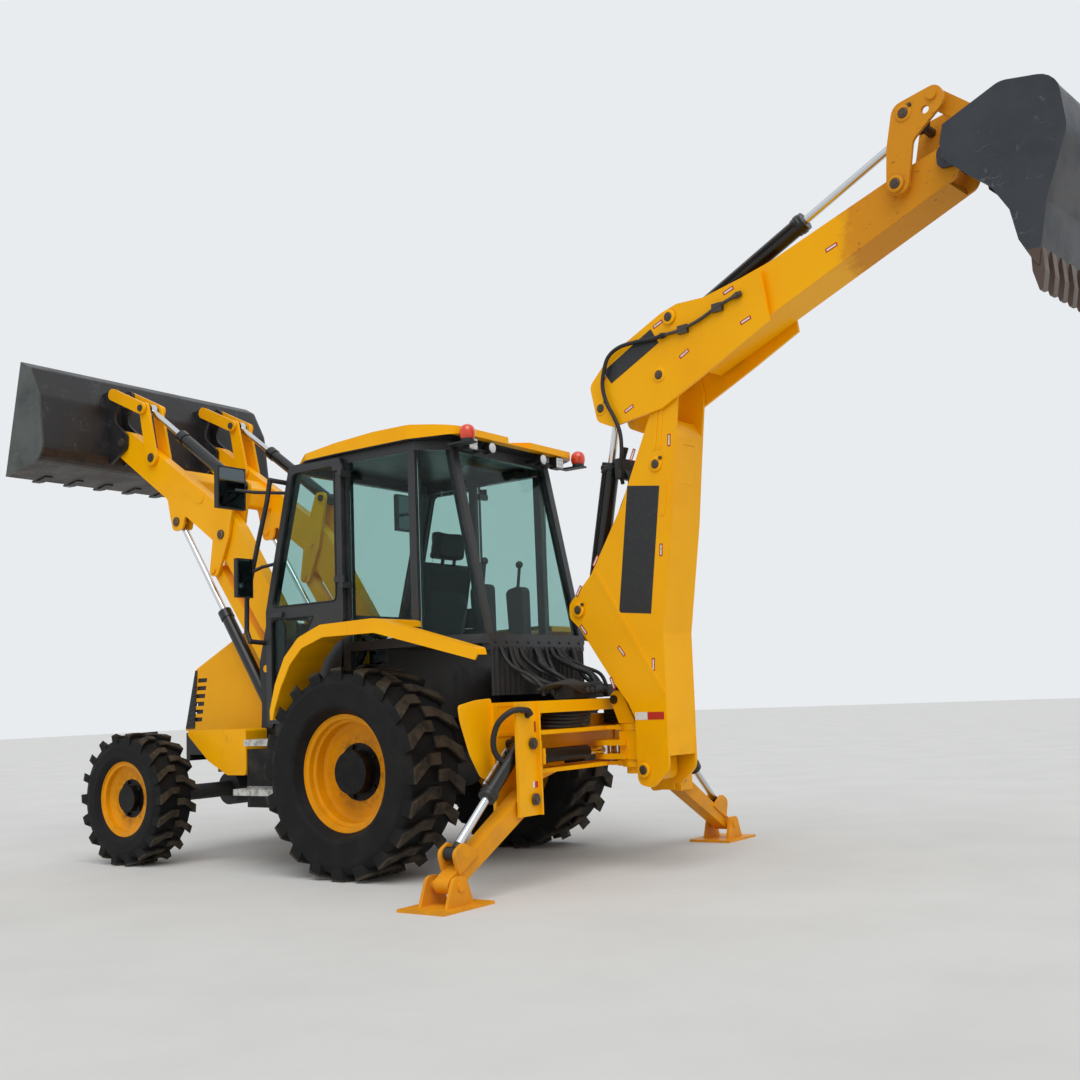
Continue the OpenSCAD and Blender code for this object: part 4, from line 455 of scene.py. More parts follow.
link(STATION, blend(STATION, grime, "#1D1E20", "#2C2D2F"), shader, "Base Color")


def signal(name, colour, scuff="#6A655C", amount=0.3, rough=0.35):
    """A plain signal colour with a few scuffs."""
    mat, shader, where = finish(name, Roughness=rough)
    worn = maths(mat, "MULTIPLY", blotches(mat, where, 25, 0.5, 0.7), amount)
    link(mat, blend(mat, worn, colour, scuff), shader, "Base Color")
    return mat


RED = signal("red_reflective_film", "#C22B1C")
WHITE = signal("white_reflective_film", "#E4E4DE")
PANEL = signal("black_vinyl_film", "#1C1D1F", "#34332F", 0.5, 0.45)
STRUT_RED = signal("red_enamel", "#B7291D", "#5A2318", 0.5, 0.4)

# %% [markdown]
# A piston rod ends in a forged eye that is painted black like the barrel, while the rod beside it stays
# bright. The border is a sphere round the rod's pin, so each rod has its own copy of the chrome finish.

# %% Rods with painted eyes
def rod_with_eye(name, pin, radius):
    """Hard chrome farther than radius (m) from the pin, black paint within it."""
    mat, shader, where = finish(name, Base_Color=ink("#D5D8DB"), Metallic=1.0, Roughness=0.14)
    away = add(mat, "VectorMath", {"operation": "DISTANCE"}, _0=where, _1=tuple(pin.ravel())).outputs["Value"]
    eye = step(mat, away, radius + 0.001, radius - 0.001)
    link(mat, blend(mat, eye, "#D5D8DB", "#121315"), shader, "Base Color")
    link(mat, maths(mat, "SUBTRACT", 1.0, eye), shader, "Metallic")
    link(mat, maths(mat, "ADD", maths(mat, "MULTIPLY", eye, 0.3), 0.14), shader, "Roughness")
    return mat


RODS = {"boom_rod": (pivot(BOOM_RAM_EYE), 0.085), "dipper_rod": (pivot(DIPPER_RAM_EYE), 0.085),
        "crowd_rod": (pivot(CROWD_RAM_EYE), 0.080)}
for side, word in SIDES:
    RODS["leg_rod_" + word] = (mach([LEG_X, side * LEG_RAM_EYE[0], LEG_RAM_EYE[1]]), 0.070)
ROD_FINISH = {name: rod_with_eye("hard_chrome_of_" + name, *eye) for name, eye in RODS.items()}

# %% [markdown]
# Each CAD part now takes its finish by name. Parts that are the same on both sides share one rule.

# %% Finishes on the CAD parts
BY_SLOT = {"yellow_paint": YELLOW, "black_paint": FRAME_BLACK, "chrome_rod": CHROME, "grey_castings": CASTING,
           "tinted_glass": GLASS, "seat_fabric": CLOTH, "lamp_lens": LENS, "bucket_black": BUCKET_BLACK,
           "bucket_grey": BUCKET_SLATE, "tyre_rubber": REAR_RUBBER}
BY_NODE = {"side_boxes": SIDE_BOXES, "rear_frame": REAR_FRAME, "cab_roof": ROOF, "cab_shell": CHARCOAL,
           "door_left": CHARCOAL, "door_right": CHARCOAL, "cab_fittings": PLASTIC,
           "operator_station": STATION, "dipper": DIPPER_YELLOW, "tipping_lever": DIPPER_YELLOW,
           "tipping_link": DIPPER_YELLOW,
           "rear_rim_left": REAR_RIM, "rear_rim_right": REAR_RIM, "front_rim_left": FRONT_RIM,
           "front_rim_right": FRONT_RIM, "front_tyre_left": FRONT_RUBBER, "front_tyre_right": FRONT_RUBBER}
for name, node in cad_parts.items():
    for place in node.material_slots:
        kind = place.material.name.split(".")[0]
        if name.startswith(("leg_left", "leg_right", "pad_")):
            place.material = LEG_YELLOW
        elif "barrel" in name:
            place.material = RAM_BLACK
        elif name in ROD_FINISH:
            place.material = ROD_FINISH[name]
        else:
            place.material = BY_NODE.get(name, BY_SLOT.get(kind, FRAME_BLACK))
print("finished", len(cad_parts), "parts")

# %% [markdown]
# ## Shapes from numbers
# New pieces are made of three shapes, each a closed surface of arrays: a bar carried along a path, a turned
# profile, and a plate cut from an outline. One function welds them, turns their faces outwards and puts
# them into a mesh that rides on a body (a piece that bends between two bodies is given none).

# %% Shape helpers
def net(rows, cols, wrap):
    """Quads of a grid, rows by cols; columns wrap round, rows too if wrap."""
    i, j = np.meshgrid(np.arange(rows if wrap else rows - 1), np.arange(cols), indexing="ij")
    i2, j2 = (i + 1) % rows, (j + 1) % cols
    return np.stack([i * cols + j, i2 * cols + j, i2 * cols + j2, i * cols + j2], -1).reshape(-1, 4)


def bar(path, radius, sides=14):
    """A round bar: ring(t) = path(t) + r * (cos a * n + sin a * b), n and b square to the path, ends shut."""
    p = np.asarray(path, float)
    t = np.gradient(p, axis=0)
    t /= np.linalg.norm(t, axis=1)[:, None]
    ref = np.eye(3)[np.abs(t).max(0).argmin()]
    n = np.cross(t, ref)
    n /= np.linalg.norm(n, axis=1)[:, None]
    b = np.cross(t, n)
    a = np.linspace(0, 2 * math.pi, sides, endpoint=False)[None, :, None]
    r = np.broadcast_to(np.asarray(radius, float), (len(p),))[:, None, None]
    v = (p[:, None] + r * (np.cos(a) * n[:, None] + np.sin(a) * b[:, None])).reshape(-1, 3)
    faces = net(len(p), sides, False).tolist()
    return v, faces + [list(range(sides)), list(range(len(v) - sides, len(v)))]


def curve(points, steps=8):
    """Catmull-Rom curve through the points: the cubic with tangents (next - last) / 2 at each of them."""
    p = np.asarray(points, float)
    p = np.vstack([2 * p[0] - p[1], p, 2 * p[-1] - p[-2]])
    t = np.linspace(0, 1, steps, endpoint=False)[None, :, None]
    a, b, c, d = (p[i:len(p) - 3 + i, None] for i in range(4))
    q = 0.5 * (2 * b + (c - a) * t + (2 * a - 5 * b + 4 * c - d) * t**2 + (3 * b - a - 3 * c + d) * t**3)
    return np.vstack([q.reshape(-1, 3), p[-2]])


def turned(profile, base, axis, sides=28):
    """A profile of (radius, height) in metres turned round an axis through base; both ends closed."""
    axis = np.asarray(axis, float) / np.linalg.norm(axis)
    n = np.cross(axis, np.eye(3)[np.abs(axis).argmin()])
    n /= np.linalg.norm(n)
    b = np.cross(axis, n)
    pr = np.asarray(profile, float)
    a = np.linspace(0, 2 * math.pi, sides, endpoint=False)[None, :, None]
    ring = np.cos(a) * n + np.sin(a) * b
    v = np.asarray(base, float).reshape(3) + pr[:, 1][:, None, None] * axis + pr[:, 0][:, None, None] * ring
    faces = net(len(pr), sides, False).tolist()
    return v.reshape(-1, 3), faces + [list(range(sides)), list(range((len(pr) - 1) * sides, len(pr) * sides))]


def plate(outline, depth):
    """A closed plate: an outline (n points in space) and the same outline moved by the vector depth."""
    o = np.asarray(outline, float)
    n = len(o)
    k = np.arange(n)
    sides = np.stack([k, (k + 1) % n, (k + 1) % n + n, k + n], -1).tolist()
    return np.vstack([o, o + np.asarray(depth, float)]), sides + [list(range(n)), list(range(n, 2 * n))]


def rounded(corners, radius, steps=4):
    """A flat outline with arcs for corners: quadratic curves between points one radius from each corner."""
    c = np.asarray(corners, float)
    back = np.roll(c, 1, 0) - c
    on = np.roll(c, -1, 0) - c
    back /= np.linalg.norm(back, axis=1)[:, None]
    on /= np.linalg.norm(on, axis=1)[:, None]
    t = np.linspace(0, 1, steps + 1)[None, :, None]
    a, b = (c + back * radius)[:, None], (c + on * radius)[:, None]
    return ((1 - t) ** 2 * a + 2 * t * (1 - t) * c[:, None] + t**2 * b).reshape(-1, c.shape[1])


def put(name, shapes, mat, body, soft=35, bevel=0.0):
    """Welds the shapes into one mesh, turns faces outwards, smooths below soft degrees, rides on the body."""
    rows, faces, at = [], [], 0
    for v, f in shapes:
        rows.append(v)
        faces += [[i + at for i in face] for face in f]
        at += len(v)
    mesh = bpy.data.meshes.new(name)
    mesh.from_pydata(np.vstack(rows).tolist(), [], faces)
    bm = bmesh.new()
    bm.from_mesh(mesh)
    bmesh.ops.remove_doubles(bm, verts=bm.verts, dist=1e-6)
    bmesh.ops.recalc_face_normals(bm, faces=bm.faces)
    bm.to_mesh(mesh)
    bm.free()
    mesh.shade_smooth()
    mesh.set_sharp_from_angle(angle=math.radians(soft))
    mesh.materials.append(mat)
    obj = bpy.data.objects.new(name, mesh)
    bpy.context.scene.collection.objects.link(obj)
    if bevel:
        edge = obj.modifiers.new("edge", "BEVEL")
        edge.width, edge.segments, edge.limit_method = bevel, 2, "ANGLE"
    if body:
        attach(obj, body)
    return obj


# %% [markdown]
# ## Cab glass in the doors
# The doors' frames are CAD parts with open windows. Their panes are flat toughened glass set in a rubber
# profile, so each is a rounded plate 5 mm thick, a few millimetres larger than its opening and held inside
# the frame's thickness. They ride on the doors and swing with them.

# %% Door panes
UPPER = [(312, 1775), (938, 1775), (712, 2688), (312, 2688)]
LOWER = [(532, 1685), (652, 1510), (706, 1412), (757, 1270), (774, 1032), (946, 1032), (946, 1685)]


def grow(outline, by):
    """Moves each corner away from the outline's middle by a length."""
    o = np.asarray(outline, float)
    d = o - o.mean(0)
    return o + d / np.linalg.norm(d, axis=1)[:, None] * by


def window(outline, y, radius, by):
    """A window's outline (x, z) grown by a length, its corners rounded, at the place y."""
    o = rounded(grow(outline, by), radius)
    return mach(np.column_stack([o[:, 0], np.full(len(o), y), o[:, 1]]))


PANE_Y, PANE_T, SEAL_Y = 739, 0.005, 758.5
for side, word in SIDES:
    panes = [plate(window(outline, side * PANE_Y, radius, by), (0, side * PANE_T, 0))
             for outline, radius, by in ((UPPER, 36, 12), (LOWER, 12, 10))]
    put("door_glass_" + word, panes, GLASS, "door_" + word)
    rings = [window(outline, side * SEAL_Y, radius, 2) for outline, radius in ((UPPER, 40), (LOWER, 14))]
    put("door_seals_" + word, [bar(np.vstack([ring, ring[:2]]), 0.006, 8) for ring in rings], HOSE,
        "door_" + word)
print("door panes", 4)

# %% [markdown]
# ## Seat
# The driver's cushion and back are moulded foam under woven cloth. Foam bulges between its seams, so each
# pad starts as a slightly smaller block, is remeshed, blown up a little by a cloth simulation with pressure
# and no gravity, capped, and smoothed once. The CAD cushion is replaced; the back pads lie over the seat's
# shell.

# %% Padded seat
VOXEL, PRESSURE, FRAMES = 0.009, 4.0, 16


def pad_of(name, outline, half, scale, cap, replaced=None, margin=0.012):
    """Outline (x, z) in machine mm extruded to |y| <= half, shrunk by margin, remeshed, swollen, capped."""
    o = rounded(outline, 26)
    middle = o.mean(0)
    o = middle + (o - middle) * scale
    ring = mach(np.column_stack([o[:, 0], np.full(len(o), -half + margin * 1000), o[:, 1]]))
    v, f = plate(ring, (0, 2 * half / 1000 - 2 * margin, 0))
    obj = put(name, [(v, f)], CLOTH, "machine")
    bpy.context.view_layer.objects.active = obj
    obj.select_set(True)
    remesh = obj.modifiers.new("remesh", "REMESH")
    remesh.mode, remesh.voxel_size = "VOXEL", VOXEL
    bpy.ops.object.modifier_apply(modifier="remesh")
    mesh = obj.data
    start = np.zeros(len(mesh.vertices) * 3)
    mesh.vertices.foreach_get("co", start)
    cloth = obj.modifiers.new("cloth", "CLOTH")
    cloth.settings.use_pressure = True
    cloth.settings.uniform_pressure_force = PRESSURE
    cloth.settings.effector_weights.gravity = 0.0
    for step_no in range(1, FRAMES + 1):
        bpy.context.scene.frame_set(step_no)
    shape = obj.evaluated_get(bpy.context.evaluated_depsgraph_get()).data
    swollen = np.zeros(len(shape.vertices) * 3)
    shape.vertices.foreach_get("co", swollen)
    obj.modifiers.remove(cloth)
    bpy.context.scene.frame_set(1)
    move = (swollen - start).reshape(-1, 3)
    length = np.linalg.norm(move, axis=1)[:, None]
    move *= np.minimum(1.0, cap / np.maximum(length, 1e-9))
    start = (start.reshape(-1, 3) + move).ravel()
    mesh.vertices.foreach_set("co", start)
    mesh.shade_smooth()
    smooth = obj.modifiers.new("round", "SUBSURF")
    smooth.levels = smooth.render_levels = 1
    bpy.ops.object.modifier_apply(modifier="round")
    obj.select_set(False)
    if replaced:
        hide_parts(replaced)
    print(name, len(obj.data.vertices), "points")
    return obj


pad_of("seat_pad", [(150, 1421), (505, 1421), (515, 1520), (160, 1534)], 225, 0.96, 0.012, "seat_cushion")
pad_of("back_pad", [(52, 1400), (160, 1395), (170, 1560), (60, 2030), (-30, 2030), (-20, 1700)], 246, 0.97,
       0.010)
pad_of("head_pad", [(-60, 2062), (30, 2066), (0, 2262), (-80, 2256)], 142, 0.97, 0.008)

# %% [markdown]
# ## Pins of the digging arm
# Every pivot is a hardened pin through bushed bosses. From outside one sees a bearing collar, the pin's
# chamfered end and the keeper bolt that stops it turning. Each is turned round the arm's cross axis on both
# sides; four joints whose pin the CAD leaves as a bore get the whole pin.

# %% Arm pins
PIN_END = np.array([(0.000001, 0.010), (0.012, 0.010), (0.013, 0.007), (0.022, 0.007), (0.0265, 0.003),
                    (0.0265, -0.004)])
COLLAR = np.array([(0.030, 0.000), (0.030, 0.006), (0.040, 0.006), (0.046, 0.002), (0.047, -0.003),
                   (0.030, -0.003)])
HEXAGON = np.array([(0.000001, 0.012), (0.010, 0.012), (0.011, 0.010), (0.011, -0.002)])
PIN_RADIUS = 0.0265


def ends(place, half, profile):
    """The same turned profile on both sides of the arm, at (u, v) and w = +half and -half."""
    return [turned(profile, pivot(place, side * half), side * ARM_W) for side in (-1, 1)]


def keeper(place, half, angle=0.7, away=52):
    """Keeper bolt: a small hexagon beside the pin on a lug."""
    place = (place[0] + away * math.cos(angle), place[1] + away * math.sin(angle))
    return [turned(HEXAGON, pivot(place, side * half), side * ARM_W, 6) for side in (-1, 1)]


ARM_PINS = {"boom": [(BOOM_RAM_EYE, 149, 1), (ELBOW, 168, 0), (DIPPER_RAM_FOOT, 159, 1), (BOOM_FOOT, 159, 0)],
            "dipper": [(DIPPER_RAM_EYE, 168, 1), (CROWD_RAM_FOOT, 179, 0)],
            "tipping_lever": [(CROWD_RAM_EYE, 179, 1), (LEVER_FOOT, 191, 0), (LEVER_TOP, 127, 0)],
            "hoe_bucket": [(BUCKET_PIN, 156, 0), (LINK_PIN, 156, 0)]}
for body, pins in ARM_PINS.items():
    heads, rings = [], []
    for place, half, kept in pins:
        heads += ends(place, half + 4, PIN_END)
        if kept:
            heads += keeper(place, half + 1)
        rings += ends(place, half + 1, COLLAR)
    put("pin_ends_" + body, heads, PIN_STEEL, body)
    if body != "hoe_bucket":
        put("pin_collars_" + body, rings, DIPPER_YELLOW if body != "boom" else YELLOW, body)
SHAFTS = {"boom": [(BOOM_RAM_EYE, 150), (ELBOW, 166)], "dipper": [(DIPPER_RAM_EYE, 166)],
          "tipping_lever": [(CROWD_RAM_EYE, 177)]}
for body, pins in SHAFTS.items():
    shafts = [turned([(PIN_RADIUS, 0), (PIN_RADIUS, 2 * half / 1000)], pivot(place, -half), ARM_W)
              for place, half in pins]
    put("pin_shafts_" + body, shafts, PIN_STEEL, body)
print("arm pins", sum(len(p) for p in ARM_PINS.values()))

# %% [markdown]
# ## Films on the arm
# A dark vinyl panel is stuck on the boom and on the dipper, and small red-framed marker strips and a
# reflector lie beside them. Each is film: a plate about 1 mm thick that rests on the steel.

# %% Films on the arm
BOOM_SIDE, CHEEK_SIDE, BOX_SIDE = 145, 168, 125
CHEEK_END_U = 1230


def on_side(outline, w):
    """An outline (u, v) laid on the arm's side w, in row metres."""
    return arm(np.column_stack([outline[:, 0], np.full(len(outline), w), outline[:, 1]]))


def film(name, corners, w, mat, body, rise=0.0012):
    """A rounded film on the arm's side w; corners are (u, v)."""
    return put(name, [plate(on_side(rounded(corners, 4), w), ARM_W * math.copysign(rise, w))], mat, body)


def strip(u, v, along, length, height):
    """Corners of a strip centred on (u, v), its long side turned by an angle."""
    c, s = math.cos(along), math.sin(along)
    k = np.array([(-1, -1), (1, -1), (1, 1), (-1, 1)]) * [length / 2, height / 2]
    return np.column_stack([u + k[:, 0] * c - k[:, 1] * s, v + k[:, 0] * s + k[:, 1] * c])


for sign, word in ((-1, "left"), (1, "right")):
    side, cheek = sign * BOOM_SIDE, sign * (CHEEK_SIDE + 1)
    film("name_panel_boom_" + word, [(138, 2360), (385, 2325), (272, 1553), (24, 1578)], side, PANEL, "boom")
    film("name_panel_dipper_" + word, [(8, 3112), (71, 3024), (455, 3200), (400, 3300)], cheek, PANEL,
         "dipper")
    for colour, mat, start, end in (("white", WHITE, 110, 205), ("red", RED, 205, 330)):
        corners = [(start, 962), (end, 962), (end, 916), (start, 916)]
        film("reflector_boom_" + colour + "_" + word, corners, side, mat, "boom")
print("films on the arm", 8)

# %% [markdown]
# A marker strip is a red frame with a white field. Each one is two films, the white a little higher than
# the red, at a place (u, v) and an angle that follow the plate's edge.

# %% Marker strips
FRAME_SIZE, FIELD_SIZE = (78, 24), (62, 10)
FRAME_RISE, FIELD_RISE = 0.0008, 0.0013
MARKS = {"dipper": [(20, 3085, 1.1), (456, 3317, 0.35), (640, 3090, 0.45), (200, 2835, 0.4), (980, 3395, 0.3),
                    (1085, 3190, 0.3), (1640, 3480, 0.3)],
         "boom": [(476, 2592, 1.5), (191, 2548, 1.1), (372, 1932, 1.5), (-147, 1919, 1.0), (-299, 1740, 1.0),
                  (-273, 1491, -0.9), (27, 1339, -0.9), (269, 1246, 1.5), (-56, 1146, -1.2)]}
for body, near_side in (("dipper", CHEEK_SIDE), ("boom", BOOM_SIDE)):
    for sign, word in ((-1, "left"), (1, "right")):
        red, white = [], []
        for u, v, angle in MARKS[body]:
            face = sign * (near_side if u < CHEEK_END_U else BOX_SIDE)
            for made, size, rise in ((red, FRAME_SIZE, FRAME_RISE), (white, FIELD_SIZE, FIELD_RISE)):
                ring = on_side(rounded(strip(u, v, angle, *size), 2), face)
                made.append(plate(ring, ARM_W * sign * rise))
        put("marker_frames_" + body + "_" + word, red, STRUT_RED, body)
        put("marker_films_" + body + "_" + word, white, WHITE, body)
print("marker strips", 2 * sum(len(places) for places in MARKS.values()))

# %% [markdown]
# ## Hydraulic lines
# Steel-braided rubber hose, 23-37 mm outside, and bent steel pipe along the ram barrels. Each is a round
# bar on a smooth curve through the points where clamps hold it; couplings are turned hexagons at its ends.
# They are held all along, so none is a free cord.

# %% Line helpers
COUPLING = np.array([(0.0155, 0), (0.0155, 0.016), (0.019, 0.017), (0.019, 0.034), (0.014, 0.036),
                     (0.014, 0.052)])
SMALL_HOSE, BAY_HOSE, SLEEVED_HOSE, PIPE = 0.0115, 0.0125, 0.017, 0.011


def line(points, radius, sides=12, steps=8):
    """A round bar of one radius on the smooth curve through the points."""
    return bar(curve(points, steps), radius, sides)


def coupling(at, towards, size=1.0):
    """A swivel nut at a line's end, pointing along it."""
    d = np.asarray(towards, float).reshape(3) - np.asarray(at, float).reshape(3)
    return turned(COUPLING * size, at, d, 6)


def clamp(at, across, along, size):
    """A clamp block of three sizes (m): across the line, along it, and square to both."""
    a, b = (np.asarray(k, float) / np.linalg.norm(k) for k in (across, along))
    n = np.cross(a, b)
    k = np.array([(-1, -1), (1, -1), (1, 1), (-1, 1)]) / 2
    at = np.asarray(at, float).reshape(3)
    ring = at + k[:, :1] * a * size[0] + k[:, 1:] * b * size[1] - n * size[2] / 2
    return plate(ring, n * size[2])


# %% [markdown]
# The crowd circuit leaves the dipper's side as a pipe with a brown end fitting, passes two clamps and
# becomes a hose that loops round the dipper's tail down to the boom. The loop crosses the elbow, so it
# rides on neither body.

# %% Dipper line
W = -186
pipe = arm([(1075, W, 3352), (980, W, 3330), (900, W, 3308), (770, W, 3262), (640, W, 3236), (520, W, 3232)])
steel = [bar(curve(pipe, 6), PIPE, 12), coupling(pipe[0], pipe[1], 1.1)]
steel += [clamp(arm([u, -180, v]), ARM_U, UP, (0.07, 0.05, 0.028)) for u, v in ((905, 3308), (650, 3236))]
put("dipper_pipe_left", steel, PIN_STEEL, "dipper")
loop = arm([(520, W, 3232), (420, -190, 3228), (300, -194, 3236), (170, -196, 3232), (80, -198, 3190),
            (38, -198, 3110), (20, -198, 3010), (45, -196, 2900), (95, -192, 2800), (130, -184, 2700),
            (128, -172, 2600), (100, -150, 2510), (70, -118, 2440), (60, -90, 2390)])
hose = put("dipper_hose_left", [bar(curve(loop, 8), BAY_HOSE, 14), coupling(loop[0], loop[1])], HOSE, None)
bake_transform(hose)
print("dipper line", round(float(np.linalg.norm(np.diff(loop, axis=0), axis=1).sum()), 2), "m of hose")

# %% [markdown]
# Two hose bundles climb the boom's front from the valve block to the rams. On the real machine they hang in
# the open front of the boom between its side plates, tied by a black bracket, and are seen from the cab.

# %% Boom lines
bundle = []
for k, w in enumerate((-95, -70, 70, 95)):
    way = [(40 + 6 * k, w, 1130), (-40, w, 1260), (-150, w, 1460), (-240, w, 1640), (-180, w, 1800),
           (-60, w, 2040), (40, w, 2230), (120, w, 2400), (60, w, 2520), (90, w, 2620)]
    bundle.append(line(arm(way), SMALL_HOSE, 10))
put("boom_hoses", bundle, HOSE, "boom")
bracket = [clamp(arm([70, 0, 2480]), ARM_W, UP, (0.30, 0.13, 0.05)),
           clamp(arm([-140, 0, 1840]), ARM_W, UP, (0.27, 0.05, 0.03))]
put("boom_hose_brackets", bracket, PLASTIC, "boom", bevel=0.006)
print("boom hoses", len(bundle))


# %% [markdown]
# Ram barrels carry a steel pipe that feeds the rod end, a gland collar and port bosses. One function
# dresses any ram from its two pins. The pipe starts low, but on the boom's ram it starts farther up.

# %% Ram fittings
def dress_ram(name, p, q, radius, length, out, low=0.11):
    """Ring collar at the rod end, port bosses at both ends, a pipe between them; out = the pipe's side."""
    p, q, out = (np.asarray(k, float).reshape(3) for k in (p, q, out))
    d = (q - p) / np.linalg.norm(q - p)
    out = out - d * (out @ d)
    out /= np.linalg.norm(out)
    r = radius / 1000
    lo, hi = p + d * low, p + d * (length - 55) / 1000
    gap = out * (r + 0.016)
    pipe = [lo + out * (r + 0.002), lo + gap * 1.02, lo + gap + d * 0.06, hi + gap - d * 0.06,
            hi + gap * 1.02, hi + out * (r + 0.004)]
    dark = [turned([(r + 0.007, 0), (r + 0.011, 0.004), (r + 0.011, 0.026), (r + 0.007, 0.030)],
                   p + d * (length / 1000 - 0.05), d, 32)]
    dark += [turned([(0.017, -0.01), (0.017, 0.012), (0.012, 0.018)], k + out * r, out, 12) for k in (lo, hi)]
    put(name + "_collar", dark, RAM_BLACK, name)
    put(name + "_pipe", [line(pipe, 0.007, 10, 6)], ZINC if "leg" in name else RAM_BLACK, name)


dress_ram("boom_barrel", pivot(BOOM_RAM_FOOT), pivot(BOOM_RAM_EYE), 56, 1050, -ARM_W, 0.38)
dress_ram("dipper_barrel", pivot(DIPPER_RAM_FOOT), pivot(DIPPER_RAM_EYE), 56, 960, -ARM_W)
dress_ram("crowd_barrel", pivot(CROWD_RAM_FOOT), pivot(CROWD_RAM_EYE), 50, 960, -ARM_W)
for side, word in SIDES:
    top, eye = (mach([LEG_X, side * y, z]) for y, z in (LEG_RAM_TOP, LEG_RAM_EYE))
    dress_ram("leg_barrel_" + word, top, eye, 44, 430, (0.25, side * 0.65, 0.72))
print("rams dressed", 5)

# %% [markdown]
# The rear frame's bay is full of hoses that bow back from the valve block towards the swinging kingpost.
# They lie in arcs, side by side, with cast couplings on the left. They stay on the frame's side, so the
# kingpost can turn without pulling them.

# %% Rear-frame hoses
bay, nuts = [], []
for k in range(6):
    y, z = 650 - 25 * k, 905 + 22 * k
    pts = mach([(-1150, y - 60, z), (-1240, y - 90, z - 4), (-1300, y - 200, z - 10),
                (-1318, y - 330, z - 6 + 3 * (k % 2)), (-1310, 230 - 8 * k, z), (-1270, 170, z + 4),
                (-1190, 150, z + 4)])
    bay += [line(pts, BAY_HOSE, 10), line(pts * [1, -1, 1], BAY_HOSE, 10)]
    nuts.append(coupling(pts[3], pts[4]))
put("bay_hoses", bay, HOSE, "machine")
put("bay_couplings", nuts, CASTING, "machine")
over_top = []
for k in range(5):
    y = 420 - 45 * k
    way = [(-1120, y + 60, 1120), (-1210, y + 40, 1150 + 6 * k), (-1290, y - 10, 1150),
           (-1318, y - 80, 1118 + 4 * k), (-1300, y - 150, 1108)]
    over_top.append(line(mach(way), SMALL_HOSE, 10))
put("valve_hoses", over_top, HOSE, "machine")
PORT = [(0.024, 0), (0.024, 0.05), (0.018, 0.055), (0.018, 0.085)]
block = [clamp(mach([-1180, 120, 1112]), (0, 1, 0), (1, 0, 0), (0.34, 0.15, 0.10)),
         clamp(mach([-1205, -170, 1104]), (0, 1, 0), (1, 0, 0), (0.16, 0.12, 0.08))]
block += [turned(PORT, mach([-1250, 20 + 55 * k, 1112]), (-1, 0, 0), 12) for k in range(5)]
put("valve_block", block, CASTING, "machine", bevel=0.005)
print("hoses in the frame", len(bay) + len(over_top))

# %% [markdown]
# Each stabiliser ram is fed by a sleeved hose that leaves the frame's cheek through a grommet, arches
# outwards and drops to the barrel's port. The barrel rocks when the leg folds, so the hose rides on
# neither body.

# %% Stabiliser hoses
GROMMET = [(0.026, -0.002), (0.026, 0.006), (0.019, 0.010)]
for side, word in SIDES:
    pts = mach([(-1366, side * 900, 985), (-1376, side * 950, 1006), (-1338, side * 1032, 1006),
                (-1276, side * 1078, 950), (-1240, side * 1088, 870), (-1230, side * 1078, 795),
                (-1240, side * 1052, 745), (-1252, side * 1028, 722)])
    grommet = turned(GROMMET, mach([-1342, side * 900, 985]), (-1, 0, 0), 20)
    put("stabiliser_grommet_" + word, [grommet], HOSE, "machine")
    hose = put("stabiliser_hose_" + word, [line(pts, SLEEVED_HOSE)], HOSE, None)
    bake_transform(hose)
print("stabiliser hoses", 2)

# %% [markdown]
# ## Films and bolts on the rear frame
# A red and white reflector sits low on each cheek, small marker strips above it, and two pin heads show
# where the stabiliser's leg and ram are hung.

# %% Rear-frame films and pins
CHEEK_BACK, PIN_HEAD_BACK = -1341.5, -1349
BOLT_HEAD = [(0.034, -0.002), (0.034, 0.010), (0.022, 0.012), (0.021, 0.020), (0.012, 0.021)]


def facing(outline, x, side=1, y=0, z=0):
    """An outline (y, z) laid square to X at the place x, on one side of the machine, in row metres."""
    return mach(np.column_stack([np.full(len(outline), x), side * (y + outline[:, 0]), z + outline[:, 1]]))


def oblong(y0, y1, z0, z1, radius):
    """A rounded oblong between two heights and two widths, as (y, z)."""
    return rounded([(y0, z0), (y1, z0), (y1, z1), (y0, z1)], radius)


def tag(side, *limits):
    """A film 1.2 mm thick on the cheek's rear face."""
    return plate(facing(oblong(*limits, 2), CHEEK_BACK, side), (-0.0012, 0, 0))


red, white, mark, heads = [], [], [], []
for side, word in SIDES:
    red.append(tag(side, 822, 852, 565, 600))
    white.append(tag(side, 852, 872, 565, 600))
    mark += [tag(side, 930, 962, 990, 1006), tag(side, 822, 836, 880, 940)]
    for y, z in (LEG_PIN, LEG_RAM_TOP):
        heads.append(turned(BOLT_HEAD, mach([PIN_HEAD_BACK, side * y, z]), (-1, 0, 0), 24))
put("frame_reflectors_red", red, RED, "machine")
put("frame_reflectors_white", white, WHITE, "machine")
put("frame_marks", mark, STRUT_RED, "machine")
put("frame_pin_heads", heads, PIN_STEEL, "machine")
print("pin heads", len(heads))

# %% [markdown]
# ## Lamps, beacons and mirrors
# On the roof's rear edge sit square working lamps with nine lenses, round lamps and, at the corners,
# warning beacons with red domes. The mirrors' glass sits on the rear of their cases, towards the driver.

